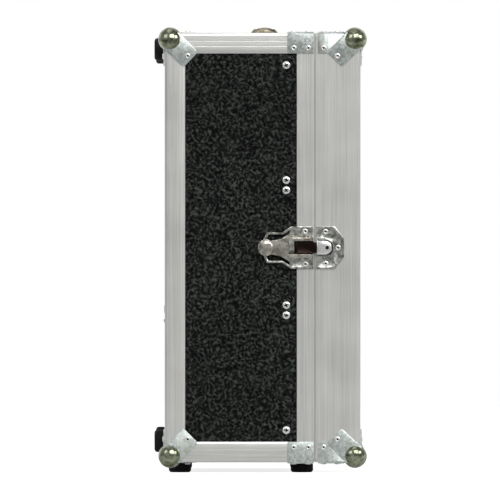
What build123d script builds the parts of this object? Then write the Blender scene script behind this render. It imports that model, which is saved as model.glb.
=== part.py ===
from build123d import *

import os
from math import atan, cos, degrees, pi, radians, sin, sqrt, tan

# A nine-unit case for modular synthesiser panels, with a lift-off lid.
#
# Plywood panels sit inside aluminium edge profiles. Ball corners and corner braces hold the
# profiles together. The lid's tongue drops into a groove in the base rim, and one draw latch on
# each end pulls the lid home. Three rows of rack rails cross the inside.
#
# Frame, in millimetres: X runs from the back of the case to the lid, Y from the left end to the
# right end, Z up. The case stands on its bottom feet at Z = 0, and the origin is the middle of
# its footprint.

# Small pieces that repeat, such as rivets, screws, pins and feet, are drawn with a few flat
# sides, and the balls on the corners as flat bands.

os.makedirs("parts", exist_ok=True)

# Rack rows
hp_pitch = 5.08
row_hp = 84
row_count = 3
row_pitch = 133.35
rail_spacing = 122.5
rail_end_room = 1.14
row_margin = 23.9

# Case shell
base_depth = 160.0
lid_depth = 48.5
seam_gap = 0.5
panel_thick = 9.0
lid_panel_thick = 7.0
profile_wall = 1.5

# Edge profiles
edge_leg = 22.0
edge_radius = 3.0
edge_bevel_width = 2.4
edge_bevel_depth = 0.9
flute_depth = 0.5
flute_pitch = 6.6

# Base rim and lid rim, which meet in a tongue and groove
rim_cover = 19.0
rim_inner_leg = 10.0
groove_depth = 4.2
tongue_width = 3.0
tongue_inset = 2.2
tongue_clearance = 0.7
tongue_tip_room = 1.2
seat_leg = 10.5

# Ball corners and corner braces
corner_sheet = 1.3
ball_radius = 12.8
ball_inset = 6.0
tab_half_width = 11.0
tab_reach = 39.5
tab_rivet_back = 4.6
brace_sheet = 1.2
brace_leg = 22.0
brace_length = 28.0
base_brace_offset = 1.0
lid_brace_offset = 3.2
brace_rivet_drop = 16.2
brace_rivet_first = 5.8
brace_rivet_pitch = 15.5
brace_bend_room = 0.1
brace_tab_gap = 0.3
rivet_radius = 3.1
rivet_height = 1.1
rivet_taper = 40.0
ball_sides = 12
ball_bands = 8

# Rack rails, their threaded strips and end screws
rail_setback = 30.2
rail_half_height = 5.0
rail_front = 8.2
rail_back = 6.0
rail_bore = 2.1
rail_lip_reach = 2.5
rail_lip_thick = 1.2
slot_half = 1.7
strip_thick = 3.0
strip_width = 6.0
strip_room = 0.1
strip_end_room = 1.5
strip_hole = 1.25
strip_hole_hp = 7
end_hole_hp = 70
screw_shank = 2.0
screw_head = 4.5
screw_head_height = 2.4
screw_taper = 25.0
screw_hole_room = 0.3
screw_reach = 16.0

# Power parts on the inside of the back panel
board_end_margin = 14.5
board_height = 50.0
board_thick = 1.6
standoff_height = 8.0
standoff_radius = 3.0
standoff_inset = 8.0
header_count = 8
header_width = 8.8
header_height = 27.9
header_depth = 9.0
header_wall = 1.1
header_floor = 2.0
header_pitch = 48.0
supply_width = 150.0
supply_height = 68.0
supply_depth = 34.0
supply_y = -60.0
supply_slot_count = 6
supply_slot_pitch = 20.0
supply_slot_width = 5.0
supply_slot_length = 44.0
supply_slot_depth = 1.2

# Mains inlet with its fuse drawer and switch, in the back panel
inlet_y = 150.0
inlet_width = 30.0
inlet_height = 72.0
inlet_flange = 2.5
inlet_body_depth = 26.0
inlet_body_inset = 1.6
inlet_cut_room = 0.3
socket_width = 24.0
socket_height = 19.0
socket_depth = 17.0
socket_chamfer = 4.0
socket_offset = 17.5
pin_width = 2.0
pin_height = 4.0
pin_length = 12.0
pin_spread = 7.0
pin_lift = 2.0
drawer_width = 22.0
drawer_height = 8.0
drawer_depth = 18.0
drawer_proud = 1.0
drawer_offset = 0.0
rocker_width = 13.0
rocker_half = 9.5
rocker_rise = 4.6
rocker_dip = 1.2
rocker_wall = 4.2
rocker_foot = 4.4
rocker_foot_half = 2.5
rocker_pivot_depth = 4.0
rocker_offset = -20.0
rocker_tilt = 7.0
rocker_well = 11.0
small_gap = 0.35

# Feet
foot_radius = 12.0
foot_height = 11.0
foot_side = 8.0
foot_taper = 28.0
foot_sides = 12
foot_end_inset = 52.0
foot_back_inset = 16.3
foot_seam_inset = 13.4
back_foot_top_inset = 17.0
back_foot_bottom_inset = 22.5
foot_screw_head = 3.6
foot_screw_head_height = 2.0
foot_well = 4.2
foot_well_depth = 4.5
foot_bore = 2.2

# Strap handle on the top
handle_from_back = 106.5
handle_span = 190.0
cap_length = 40.0
cap_width = 28.0
cap_height = 8.4
cap_edge = 3.8
cap_slope = 3.0
cap_pocket_length = 30.0
cap_pocket_room = 0.3
strap_width = 21.0
strap_thick = 3.0
strap_lift = 1.8
strap_end_room = 3.0
grip_length = 104.0
grip_width = 25.0
grip_thick = 6.4
grip_lift = 1.0
grip_bevel = 2.2

# Draw latches, one on each end
latch_sheet = 1.2
latch_tail = 54.5
latch_tail_half = 9.0
latch_narrow_half = 16.2
latch_wide_half = 22.5
latch_narrow_start = 51.0
latch_narrow_end = 34.5
latch_wide_start = 25.0
latch_seam_gap = 1.2
latch_rim_width = 1.8
latch_rim_height = 0.8
latch_rivet_back = 10.0
latch_rivet_side = 17.5
pivot_back = 5.2
pivot_height = 5.5
pivot_radius = 1.5
pivot_proud = 0.6
pivot_inside = 1.0
lug_half_width = 2.7
lug_gap = 0.3
lever_half = 10.8
lever_sheet = 1.2
lever_eye = 3.9
lever_skirt = 2.0
lever_bend = 30.0
lever_tab_start = 46.0
lever_dip = 7.8
lever_tip = 60.6
lever_tip_rise = 10.4
lever_tip_half = 8.8
lever_tab_thick = 1.6
lever_neck_half = 7.2
lever_window_half = 7.3
lever_window_back = 27.5
link_back = 19.5
link_height = 4.0
link_radius = 1.25
link_eye = 2.3
claw_half = 6.6
claw_nose_half = 7.4
claw_nose_start = 2.0
claw_nose = 18.4
claw_sheet = 1.5
claw_room = 0.35
running_gap = 0.05
hook_slope = 45.0
hook_room = 0.5
hook_bottom = 2.2
hook_flat = 1.6
hook_back_slope = 1.2
ridge_top = 4.7
ridge_near = 5.0
ridge_near_slope = 0.9
ridge_crest = 6.8
ridge_half = 6.5
shoe_inner = 8.5
shoe_wall = 1.7
shoe_centre = 11.0
shoe_height = 1.6
keeper_gap = 1.8
keeper_half = 22.5
keeper_shoulder = 21.5
keeper_nose_half = 9.5
keeper_nose = 31.5
keeper_rivet_near = 11.7
keeper_rivet_side = 17.1
keeper_rivet_far = 24.9

# Sides of small turned pieces and their holes
small_sides = 6
pin_sides = 12

# Places worked out from the sizes above
inner_width = row_hp * hp_pitch + 2 * rail_end_room
skin = profile_wall + panel_thick
case_height = (row_count - 1) * row_pitch + rail_spacing + 2 * (row_margin + skin)
case_width = inner_width + 2 * skin
half_width = case_width / 2
inner_half = inner_width / 2
board_width = inner_width - 2 * board_end_margin
ball_proud = ball_radius - ball_inset
total_depth = foot_height + base_depth + seam_gap + lid_depth + ball_proud
back_x = foot_height - total_depth / 2
seam_x = back_x + base_depth
lid_x = seam_x + seam_gap
front_x = lid_x + lid_depth
bottom_z = foot_height
top_z = bottom_z + case_height
mid_z = (bottom_z + top_z) / 2
inner_back_x = back_x + skin
panel_front_x = seam_x - groove_depth - profile_wall
rail_x = seam_x - rail_setback
row_middles = [mid_z + (i - (row_count - 1) / 2) * row_pitch for i in range(row_count)]
lever_top = pivot_height + lever_eye
lug_inner = lever_half + lug_gap

ON_BASE = (Align.CENTER, Align.CENTER, Align.MIN)
LOW = (Align.MIN, Align.MIN)
LOW_3D = (Align.MIN, Align.MIN, Align.MIN)


def save(part, name):
    """Labels a finished piece and writes its STEP file."""
    part.label = name
    export_step(part, f"parts/{name}.step")


def save_group(parts, name):
    """Writes several separate solids as one node."""
    save(Compound(children=parts), name)


def block(x, y, z):
    """A plain slab between two values on each axis, in either order."""
    low = [min(pair) for pair in (x, y, z)]
    size = [abs(pair[1] - pair[0]) for pair in (x, y, z)]
    with BuildPart() as slab:
        with Locations(tuple(low)):
            Box(*size, align=LOW_3D)
    return slab.part


# Plywood panels
panel_z = (bottom_z + profile_wall, top_z - profile_wall)
panel_y = (profile_wall - half_width, half_width - profile_wall)
rail_levels = [middle + half * rail_spacing / 2 for middle in row_middles for half in (-1, 1)]
ENDS = {"left": -1, "right": 1}


def end_panel(end):
    """An end panel, drilled for the rails' end screws."""
    holes = Plane((rail_x, 0, 0), x_dir=(1, 0, 0), z_dir=(0, -1, 0))
    with BuildPart() as panel:
        add(block((inner_back_x, panel_front_x), (end * inner_half, end * panel_y[1]), panel_z))
        with BuildSketch(holes):
            with Locations(*[(0, level) for level in rail_levels]):
                RegularPolygon(screw_shank + screw_hole_room, small_sides)
        extrude(amount=case_width, both=True, mode=Mode.SUBTRACT)
    return panel.part


inlet_z = mid_z - row_pitch / 2
inlet_body_size = (inlet_width - 2 * inlet_body_inset, inlet_height - 2 * inlet_body_inset)


def back_panel():
    """The back panel, with the cut-out for the mains inlet."""
    cut_width, cut_height = [size + 2 * inlet_cut_room for size in inlet_body_size]
    with BuildPart() as panel:
        add(block((back_x + profile_wall, inner_back_x), panel_y, panel_z))
        with Locations((back_x, inlet_y, inlet_z)):
            Box(4 * skin, cut_width, cut_height, mode=Mode.SUBTRACT)
    return panel.part


for end_name, end_side in ENDS.items():
    save(end_panel(end_side), f"{end_name}_end_panel")
save(back_panel(), "back_panel")
across = (-inner_half, inner_half)
save(block((inner_back_x, panel_front_x), across, (panel_z[1] - panel_thick, panel_z[1])), "top_panel")
save(block((inner_back_x, panel_front_x), across, (panel_z[0], panel_z[0] + panel_thick)), "bottom_panel")
lid_panel_x = (front_x - profile_wall - lid_panel_thick, front_x - profile_wall)
save(block(lid_panel_x, panel_y, panel_z), "lid_panel")


# Aluminium profiles
def edge_section():
    """The angle profile: two legs, each with a bevelled lip and two shallow flutes."""
    lip = edge_leg - edge_bevel_width
    with BuildSketch() as section:
        Polygon(
            (0, 0),
            (lip, 0),
            (edge_leg, edge_bevel_depth),
            (edge_leg, profile_wall),
            (profile_wall, profile_wall),
            (profile_wall, edge_leg),
            (edge_bevel_depth, edge_leg),
            (0, lip),
            align=None,
        )
        fillet(section.vertices().sort_by_distance((0, 0, 0))[0], edge_radius)
        for step in (1, 2):
            place = edge_radius + step * (lip - edge_radius) / 3
            with Locations((place, 0), (0, place)):
                RegularPolygon(flute_depth, 4, mode=Mode.SUBTRACT)
    return section.sketch


def flutes(depth):
    """Shallow V-shaped flutes down a rim's outer wall, at the section's X = 0."""
    count = int((depth - edge_radius) / flute_pitch)
    with BuildSketch() as lines:
        with Locations(*[(0, (i + 1) * flute_pitch) for i in range(count)]):
            RegularPolygon(flute_depth, 4)
    return lines.sketch


def base_rim_section():
    """Inward is X and away from the seam is Y: a channel on the panel's edge, and a groove."""
    socket_wall = tongue_inset + tongue_width + tongue_clearance
    with BuildSketch() as section:
        Rectangle(profile_wall, rim_cover, align=LOW)
        with Locations((0, groove_depth)):
            Rectangle(skin + profile_wall, profile_wall, align=LOW)
        with Locations((skin, groove_depth)):
            Rectangle(profile_wall, profile_wall + rim_inner_leg, align=LOW)
        with Locations((socket_wall, 0)):
            Rectangle(profile_wall, groove_depth + profile_wall, align=LOW)
        add(flutes(rim_cover), mode=Mode.SUBTRACT)
    return section.sketch


def lid_rim_section():
    """Inward is X and towards the lid's face is Y: wall, face leg, panel seat and tongue."""
    tongue_length = groove_depth - tongue_tip_room + seam_gap
    seat = lid_depth - 2 * profile_wall - lid_panel_thick
    with BuildSketch() as section:
        Rectangle(profile_wall, lid_depth, align=LOW)
        with Locations((0, lid_depth - profile_wall)):
            Rectangle(edge_leg, profile_wall, align=LOW)
        with Locations((0, seat)):
            Rectangle(profile_wall + seat_leg, profile_wall, align=LOW)
        Rectangle(tongue_inset + tongue_width, profile_wall, align=LOW)
        with Locations((tongue_inset, -tongue_length)):
            Rectangle(tongue_width, tongue_length + profile_wall, align=LOW)
        fillet(section.vertices().sort_by_distance((0, lid_depth, 0))[0], edge_radius)
        add(flutes(lid_depth), mode=Mode.SUBTRACT)
    return section.sketch


X_LEG, Y_LEG = (1, 0), (0, 1)


def bar(section, length, start=(), end=()):
    """A length of profile along Z, mitred against the section's X or Y at either end."""
    with BuildPart() as profile:
        add(section)
        extrude(amount=length)
        for axis in start:
            split(bisect_by=Plane((0, 0, 0), z_dir=(-axis[0], -axis[1], 1)), keep=Keep.TOP)
        for axis in end:
            mitre = Plane((0, 0, length), z_dir=(-axis[0], -axis[1], -1))
            split(bisect_by=mitre, keep=Keep.TOP)
    return profile.part


SIDES = {"top": (0, 0, -1), "bottom": (0, 0, 1), "left": (0, 1, 0), "right": (0, -1, 0)}


def side_length(inward):
    """How long a profile is that runs along one side of the case's outline."""
    return case_width if inward[2] else case_height


def face_point(x, *inwards):
    """The middle of an outer face, or of the edge where two faces meet, at depth x."""
    y = sum(-inward[1] * half_width for inward in inwards)
    z = mid_z + sum(-inward[2] * case_height / 2 for inward in inwards)
    return Vector(x, y, z)


def place_bar(part, middle, x_way, y_way, length):
    """Puts a bar with its section's X along x_way and its Y along y_way, centred on middle."""
    along = Vector(*x_way).cross(Vector(*y_way))
    return part.moved(Plane(middle - along * (length / 2), x_dir=x_way, z_dir=along).location)


def rim_outline(x_low, x_high):
    """The shell's outline between two depths, its corners cut off where braces cover them."""
    whole = block((x_low, x_high), (-half_width, half_width), (bottom_z, top_z))
    with BuildPart() as outline:
        add(whole)
        chamfer(outline.edges().filter_by(Axis.X), edge_radius)
    return outline.part


def rim_bar(section, x, inward, depthwise, outline):
    """One side of a rim, mitred at both ends and cut to the shell's outline."""
    length = side_length(inward)
    straight = bar(section, length, start=(X_LEG,), end=(X_LEG,))
    with BuildPart() as rim:
        add(place_bar(straight, face_point(x, inward), inward, depthwise, length))
        add(outline, mode=Mode.INTERSECT)
    return rim.part


TO_LID, TO_BACK = (1, 0, 0), (-1, 0, 0)
base_outline = rim_outline(back_x, seam_x)
lid_outline = rim_outline(seam_x - groove_depth, front_x)
for side_name, inward in SIDES.items():
    length = side_length(inward)
    back_edge = bar(edge_section(), length, start=(X_LEG, Y_LEG), end=(X_LEG, Y_LEG))
    save(place_bar(back_edge, face_point(back_x, inward), TO_LID, inward, length), f"edge_back_{side_name}")
    save(rim_bar(base_rim_section(), seam_x, inward, TO_BACK, base_outline), f"base_rim_{side_name}")
    save(rim_bar(lid_rim_section(), lid_x, inward, TO_LID, lid_outline), f"lid_rim_{side_name}")

corner_length = base_depth - rim_cover
for level_name in ("top", "bottom"):
    for end_name in ENDS:
        x_way, y_way = SIDES[level_name], SIDES[end_name]
        if Vector(*x_way).cross(Vector(*y_way)).X < 0:
            x_way, y_way = y_way, x_way
        long_edge = bar(edge_section(), corner_length, start=(X_LEG, Y_LEG))
        middle = face_point(back_x + corner_length / 2, x_way, y_way)
        save(place_bar(long_edge, middle, x_way, y_way, corner_length), f"edge_{level_name}_{end_name}")


# Ball corners and corner braces
def tab_outline(grow=0.0):
    """A corner tab on one face: a strip along the diagonal, with the corner at the origin."""
    far = tab_reach + grow
    half = tab_half_width + grow
    near = half * sqrt(2)
    low, high = (far - half) / sqrt(2), (far + half) / sqrt(2)
    margin = -corner_sheet - grow
    with BuildSketch() as outline:
        Polygon(
            (margin, margin),
            (near + margin, margin),
            (high, low),
            (low, high),
            (margin, near + margin),
            align=None,
        )
    return outline.sketch


CORNER_FACES = (
    Plane((0, 0, 0), x_dir=(1, 0, 0), z_dir=(0, 0, 1)),
    Plane((0, 0, 0), x_dir=(0, 1, 0), z_dir=(1, 0, 0)),
    Plane((0, 0, 0), x_dir=(0, 0, 1), z_dir=(0, 1, 0)),
)


def banded_ball():
    """The ball in flat bands round the Z axis, its middle at the origin."""
    angles = [pi * i / ball_bands for i in range(1, ball_bands)]
    radii = [ball_radius * sin(angle) for angle in angles]
    heights = [-ball_radius * cos(angle) for angle in angles]
    with BuildPart() as ball:
        for i in range(ball_bands - 2):
            rise = heights[i + 1] - heights[i]
            lean = (radii[i] - radii[i + 1]) * cos(pi / ball_sides) / rise
            with BuildSketch(Plane.XY.offset(heights[i])):
                RegularPolygon(radii[i], ball_sides)
            extrude(amount=rise, taper=degrees(atan(lean)))
    return ball.part


def ball_corner():
    """A pressed steel ball corner at the origin, with the case on the plus side of each axis."""
    ball = banded_ball()
    case_corner = block(*[(0, tab_reach + 2 * tab_half_width)] * 3)
    with BuildPart() as corner:
        for face in CORNER_FACES:
            with BuildSketch(face.offset(-corner_sheet)):
                add(tab_outline())
            extrude(amount=corner_sheet)
        with Locations((ball_inset, ball_inset, ball_inset)):
            add(ball)
        add(case_corner, mode=Mode.SUBTRACT)
    return corner.part


CORNERS = [(y, z) for y in (-1, 1) for z in (-1, 1)]


def corner_frame(x, depthwise, y, z):
    """A corner of the shell at depth x, with all three axes pointing into the shell."""
    into = [Vector(depthwise, 0, 0), Vector(0, -y, 0), Vector(0, 0, -z)]
    if into[0].cross(into[1]).dot(into[2]) < 0:
        into[1], into[2] = into[2], into[1]
    origin = Vector(x, y * half_width, mid_z + z * case_height / 2)
    return Plane(origin, x_dir=into[0], z_dir=into[2]).location


def at_corners(part, x, depthwise):
    """Copies of a piece at the four corners of the shell at depth x."""
    return [part.moved(corner_frame(x, depthwise, y, z)) for y, z in CORNERS]


def brace_section():
    """Two legs of sheet with a bevelled bend, round the profiles' rounded edge at the origin."""
    inner = edge_radius * (2 - sqrt(2)) - brace_bend_room
    outer = inner + brace_sheet * (1 - sqrt(2))
    with BuildSketch() as section:
        Polygon(
            (inner, 0),
            (brace_leg, 0),
            (brace_leg, -brace_sheet),
            (outer, -brace_sheet),
            (-brace_sheet, outer),
            (-brace_sheet, brace_leg),
            (0, brace_leg),
            (0, inner),
            align=None,
        )
    return section.sketch


def corner_brace(offset, beside_tab):
    """An angle plate round an edge at the seam: X runs away from the seam, Y and Z inwards."""
    tab_planes = (
        Plane((lid_depth, 0, 0), x_dir=(-1, 0, 0), z_dir=(0, 1, 0)),
        Plane((lid_depth, 0, 0), x_dir=(-1, 0, 0), z_dir=(0, 0, -1)),
    )
    with BuildPart() as brace:
        with BuildSketch(Plane((offset, 0, 0), x_dir=(0, 1, 0), z_dir=(1, 0, 0))):
            add(brace_section())
        extrude(amount=brace_length)
        if beside_tab:
            for plane in tab_planes:
                with BuildSketch(plane):
                    add(tab_outline(brace_tab_gap))
                extrude(amount=2 * brace_sheet, both=True, mode=Mode.SUBTRACT)
    return brace.part


save_group(at_corners(ball_corner(), back_x, 1), "base_ball_corners")
save_group(at_corners(ball_corner(), front_x, -1), "lid_ball_corners")
save_group(at_corners(corner_brace(base_brace_offset, False), seam_x, -1), "base_corner_braces")
save_group(at_corners(corner_brace(lid_brace_offset, True), lid_x, 1), "lid_corner_braces")


# Rivets
def rivet():
    """A rivet's head, narrower at its crown."""
    with BuildPart() as head:
        with BuildSketch():
            RegularPolygon(rivet_radius, small_sides)
        extrude(amount=rivet_height, taper=rivet_taper)
    return head.part


rivet_head = rivet()


def tab_rivets():
    """The three rivets of one ball corner, one on each tab."""
    along = (tab_reach - tab_rivet_back) / sqrt(2)
    found = []
    for face in CORNER_FACES:
        spot = (face.x_dir + face.y_dir) * along - face.z_dir * corner_sheet
        found.append(rivet_head.moved(Plane(spot, x_dir=face.x_dir, z_dir=-face.z_dir).location))
    return found


def brace_rivets(places):
    """The rivets of one corner brace, on both of its faces at each distance from the seam."""
    found = []
    for place in places:
        end_face = Plane((place, -brace_sheet, brace_rivet_drop), x_dir=(1, 0, 0), z_dir=(0, -1, 0))
        flat_face = Plane((place, brace_rivet_drop, -brace_sheet), x_dir=(1, 0, 0), z_dir=(0, 0, -1))
        found += [rivet_head.moved(end_face.location), rivet_head.moved(flat_face.location)]
    return found


def spread(parts, x, depthwise):
    """Copies of several pieces at the four corners of the shell at depth x."""
    return [copy for part in parts for copy in at_corners(part, x, depthwise)]


LATCH_FRAMES = [
    Plane((seam_x, end * half_width, mid_z), x_dir=(1, 0, 0), z_dir=(0, end, 0)).location
    for end in ENDS.values()
]


def latch_rivets(spots):
    """Rivets on the latch plates of both ends."""
    heads = [rivet_head.moved(Location((u, v, latch_sheet))) for u, v in spots]
    return [head.moved(frame) for frame in LATCH_FRAMES for head in heads]


base_rivets = spread(tab_rivets(), back_x, 1)
base_places = [base_brace_offset + brace_rivet_first + i * brace_rivet_pitch for i in range(2)]
base_rivets += spread(brace_rivets(base_places), seam_x, -1)
base_rivets += latch_rivets([(-latch_rivet_back, side * latch_rivet_side) for side in (-1, 1)])
save_group(base_rivets, "base_rivets")

keeper_spots = [(keeper_rivet_near, side * keeper_rivet_side) for side in (-1, 1)]
lid_rivets = spread(tab_rivets(), front_x, -1)
lid_rivets += spread(brace_rivets([lid_brace_offset + brace_rivet_first]), lid_x, 1)
lid_rivets += latch_rivets([*keeper_spots, (keeper_rivet_far, 0)])
save_group(lid_rivets, "lid_rivets")


# Rack rails, with a lip on the side away from the row's middle
def rail_section(outward):
    """X is towards the lid and Y is up: a bored core, and a slot for the threaded strip."""
    cavity = strip_thick + 2 * strip_room
    cavity_x = rail_front - rail_lip_thick - cavity / 2
    lip_length = rail_front + rail_lip_reach
    with BuildSketch() as section:
        with Locations(((rail_front - rail_back) / 2, 0)):
            Rectangle(rail_front + rail_back, 2 * rail_half_height)
        with Locations((lip_length / 2, outward * (rail_half_height - rail_lip_thick / 2))):
            Rectangle(lip_length, rail_lip_thick)
        RegularPolygon(rail_bore, small_sides, mode=Mode.SUBTRACT)
        with Locations((cavity_x, 0)):
            Rectangle(cavity, strip_width + 2 * strip_room, mode=Mode.SUBTRACT)
        with Locations((rail_front, 0)):
            Rectangle(2 * rail_lip_thick + strip_room, 2 * slot_half, mode=Mode.SUBTRACT)
    return section.sketch


def rail(level, outward):
    """One rail, cut to the width between the end panels."""
    with BuildPart() as part:
        with BuildSketch(Plane((rail_x, inner_half, level), x_dir=(1, 0, 0), z_dir=(0, -1, 0))):
            add(rail_section(outward))
        extrude(amount=inner_width)
    return part.part


def threaded_strip(level):
    """The steel strip in one rail, with tapped holes for a panel, and one towards either end."""
    front = rail_x + rail_front - rail_lip_thick - strip_room
    half_length = inner_half - strip_end_room
    slab = block(
        (front - strip_thick, front),
        (-half_length, half_length),
        (level - strip_width / 2, level + strip_width / 2),
    )
    with BuildPart() as strip:
        add(slab)
        with BuildSketch(Plane((front, 0, level), x_dir=(0, 1, 0), z_dir=(1, 0, 0))):
            with GridLocations(strip_hole_hp * hp_pitch, 1, 2, 1):
                Circle(strip_hole)
            with GridLocations(end_hole_hp * hp_pitch, 1, 2, 1):
                RegularPolygon(strip_hole, small_sides)
        extrude(amount=-strip_thick, mode=Mode.SUBTRACT)
    return strip.part


def rail_screw():
    """A pan-head screw, its head's seat at the origin and Z outwards."""
    with BuildPart() as screw:
        with BuildSketch():
            RegularPolygon(screw_head, small_sides)
        extrude(amount=screw_head_height, taper=screw_taper)
        with BuildSketch():
            RegularPolygon(screw_shank, small_sides)
        extrude(amount=-panel_thick - screw_reach)
    return screw.part


ROW_NAMES = ("bottom", "middle", "top")
for row_name, middle in zip(ROW_NAMES, row_middles):
    for rail_name, outward in (("lower", -1), ("upper", 1)):
        level = middle + outward * rail_spacing / 2
        save(rail(level, outward), f"rail_{row_name}_{rail_name}")
save_group([threaded_strip(level) for level in rail_levels], "threaded_strips")
end_screw = rail_screw()
screw_frames = [
    Plane((rail_x, end * panel_y[1], level), x_dir=(1, 0, 0), z_dir=(0, end, 0)).location
    for end in ENDS.values()
    for level in rail_levels
]
save_group([end_screw.moved(frame) for frame in screw_frames], "rail_screws")


# Bus boards on standoffs, and the power supply
board_x = inner_back_x + standoff_height


def board(middle):
    """One bus board, standing clear of the back panel."""
    across, up = board_width / 2, board_height / 2
    return block((board_x, board_x + board_thick), (-across, across), (middle - up, middle + up))


def standoffs(middle):
    """Hexagonal standoffs under the corners of one board."""
    spacing = board_width - 2 * standoff_inset, board_height - 2 * standoff_inset
    with BuildPart() as posts:
        with BuildSketch(Plane((inner_back_x, 0, middle), x_dir=(0, 1, 0), z_dir=(1, 0, 0))):
            with GridLocations(*spacing, 2, 2):
                RegularPolygon(standoff_radius, 6)
        extrude(amount=standoff_height)
    return posts.part.solids()


def headers(middle):
    """A row of shrouded headers along one board."""
    face = Plane((board_x + board_thick, 0, middle), x_dir=(0, 1, 0), z_dir=(1, 0, 0))
    with BuildPart() as shrouds:
        with BuildSketch(face):
            with GridLocations(header_pitch, 1, header_count, 1):
                Rectangle(header_width, header_height)
        extrude(amount=header_depth)
        with BuildSketch(face.offset(header_floor)):
            with GridLocations(header_pitch, 1, header_count, 1):
                Rectangle(header_width - 2 * header_wall, header_height - 2 * header_wall)
        extrude(amount=header_depth, mode=Mode.SUBTRACT)
    return shrouds.part.solids()


def power_supply():
    """The power supply in its cover, with cooling slots in the face towards the lid."""
    seat = Plane((inner_back_x, supply_y, row_middles[0]), x_dir=(0, 1, 0), z_dir=(1, 0, 0))
    with BuildPart() as supply:
        with BuildSketch(seat):
            Rectangle(supply_width, supply_height)
        extrude(amount=supply_depth)
        with BuildSketch(seat.offset(supply_depth)):
            with GridLocations(supply_slot_pitch, 1, supply_slot_count, 1):
                Rectangle(supply_slot_width, supply_slot_length)
        extrude(amount=-supply_slot_depth, mode=Mode.SUBTRACT)
    return supply.part


board_middles = row_middles[1:]
save_group([board(middle) for middle in board_middles], "bus_boards")
save_group([post for middle in board_middles for post in standoffs(middle)], "board_standoffs")
save_group([shroud for middle in board_middles for shroud in headers(middle)], "bus_headers")
save(power_supply(), "power_supply")


# Mains inlet: sketch planes have X to the left as seen from behind, Y up and Z out of the back
inlet_plane = Plane((back_x + profile_wall, inlet_y, inlet_z), x_dir=(0, -1, 0), z_dir=(-1, 0, 0))
inlet_face = inlet_plane.offset(inlet_flange)
swing = radians(rocker_tilt)
rocker_room = rocker_half * cos(swing) + rocker_rise * sin(swing) + small_gap


def mains_inlet():
    """The moulded inlet: flange, body, plug socket with its pins, and two wells."""
    pins = [(0, socket_offset + pin_lift)]
    pins += [(side * pin_spread, socket_offset - pin_lift) for side in (-1, 1)]
    with BuildPart() as inlet:
        with BuildSketch(inlet_plane):
            Rectangle(inlet_width, inlet_height)
        extrude(amount=inlet_flange)
        with BuildSketch(inlet_plane):
            Rectangle(*inlet_body_size)
        extrude(amount=-inlet_body_depth)
        with BuildSketch(inlet_face) as mouth:
            with Locations((0, socket_offset)):
                Rectangle(socket_width, socket_height)
            chamfer(mouth.vertices().group_by(Axis.Y)[-1], socket_chamfer)
        extrude(amount=-socket_depth, mode=Mode.SUBTRACT)
        with BuildSketch(inlet_face.offset(-socket_depth)):
            with Locations(*pins):
                Rectangle(pin_width, pin_height)
        extrude(amount=pin_length)
        with BuildSketch(inlet_face):
            with Locations((0, drawer_offset)):
                Rectangle(drawer_width + 2 * small_gap, drawer_height + 2 * small_gap)
        extrude(amount=-drawer_depth - small_gap, mode=Mode.SUBTRACT)
        with BuildSketch(inlet_face):
            with Locations((0, rocker_offset)):
                Rectangle(rocker_width + 2 * small_gap, 2 * rocker_room)
        extrude(amount=-rocker_well, mode=Mode.SUBTRACT)
    return inlet.part


def fuse_drawer():
    """The fuse drawer, its front a little proud of the flange so that a nail can draw it out."""
    with BuildPart() as drawer:
        with BuildSketch(inlet_face.offset(drawer_proud)):
            with Locations((0, drawer_offset)):
                Rectangle(drawer_width, drawer_height)
        extrude(amount=-drawer_depth - drawer_proud)
    return drawer.part


def rocker():
    """The switch's rocker, a shallow valley on a narrow foot, tipped to its off side."""
    side_view = Plane(inlet_face.origin, x_dir=(0, 0, 1), z_dir=(0, -1, 0))
    with BuildPart() as switch:
        with BuildSketch(side_view):
            with Locations(Location((rocker_offset, -rocker_pivot_depth, 0), (0, 0, rocker_tilt))):
                Polygon(
                    (-rocker_half, rocker_rise),
                    (-rocker_half, rocker_rise - rocker_wall),
                    (-rocker_foot_half, -rocker_foot),
                    (rocker_foot_half, -rocker_foot),
                    (rocker_half, rocker_rise - rocker_wall),
                    (rocker_half, rocker_rise),
                    (0, rocker_rise - rocker_dip),
                    align=None,
                )
        extrude(amount=rocker_width / 2, both=True)
    return switch.part


save(mains_inlet(), "mains_inlet")
save(fuse_drawer(), "fuse_drawer")
save(rocker(), "power_switch")


# Rubber feet with their screws
def foot():
    """A rubber foot with a tapered rim, its seat at the origin and Z away from the case."""
    seat = foot_height - foot_well_depth
    with BuildPart() as rubber:
        with BuildSketch():
            RegularPolygon(foot_radius, foot_sides)
        extrude(amount=foot_side)
        with BuildSketch(Plane.XY.offset(foot_side)):
            RegularPolygon(foot_radius, foot_sides)
        extrude(amount=foot_height - foot_side, taper=foot_taper)
        with BuildSketch(Plane.XY.offset(seat)):
            RegularPolygon(foot_well, small_sides)
        extrude(amount=foot_well_depth, mode=Mode.SUBTRACT)
        with BuildSketch():
            RegularPolygon(foot_bore, small_sides)
        extrude(amount=seat, mode=Mode.SUBTRACT)
    return rubber.part


def foot_screw():
    """The screw in a foot's well, shown down to the foot's seat."""
    seat = foot_height - foot_well_depth
    with BuildPart() as screw:
        with BuildSketch():
            RegularPolygon(screw_shank, small_sides)
        extrude(amount=seat)
        with BuildSketch(Plane.XY.offset(seat)):
            RegularPolygon(foot_screw_head, small_sides)
        extrude(amount=foot_screw_head_height)
    return screw.part


foot_y = half_width - foot_end_inset
bottom_spots = [(back_x + foot_back_inset, bottom_z), (seam_x - foot_seam_inset, bottom_z)]
back_spots = [(back_x, top_z - back_foot_top_inset), (back_x, bottom_z + back_foot_bottom_inset)]


def foot_frames(spots, outwards):
    """Where feet stand, at both ends of the case."""
    return [Plane((x, side * foot_y, z), z_dir=outwards).location for x, z in spots for side in (-1, 1)]


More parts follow.
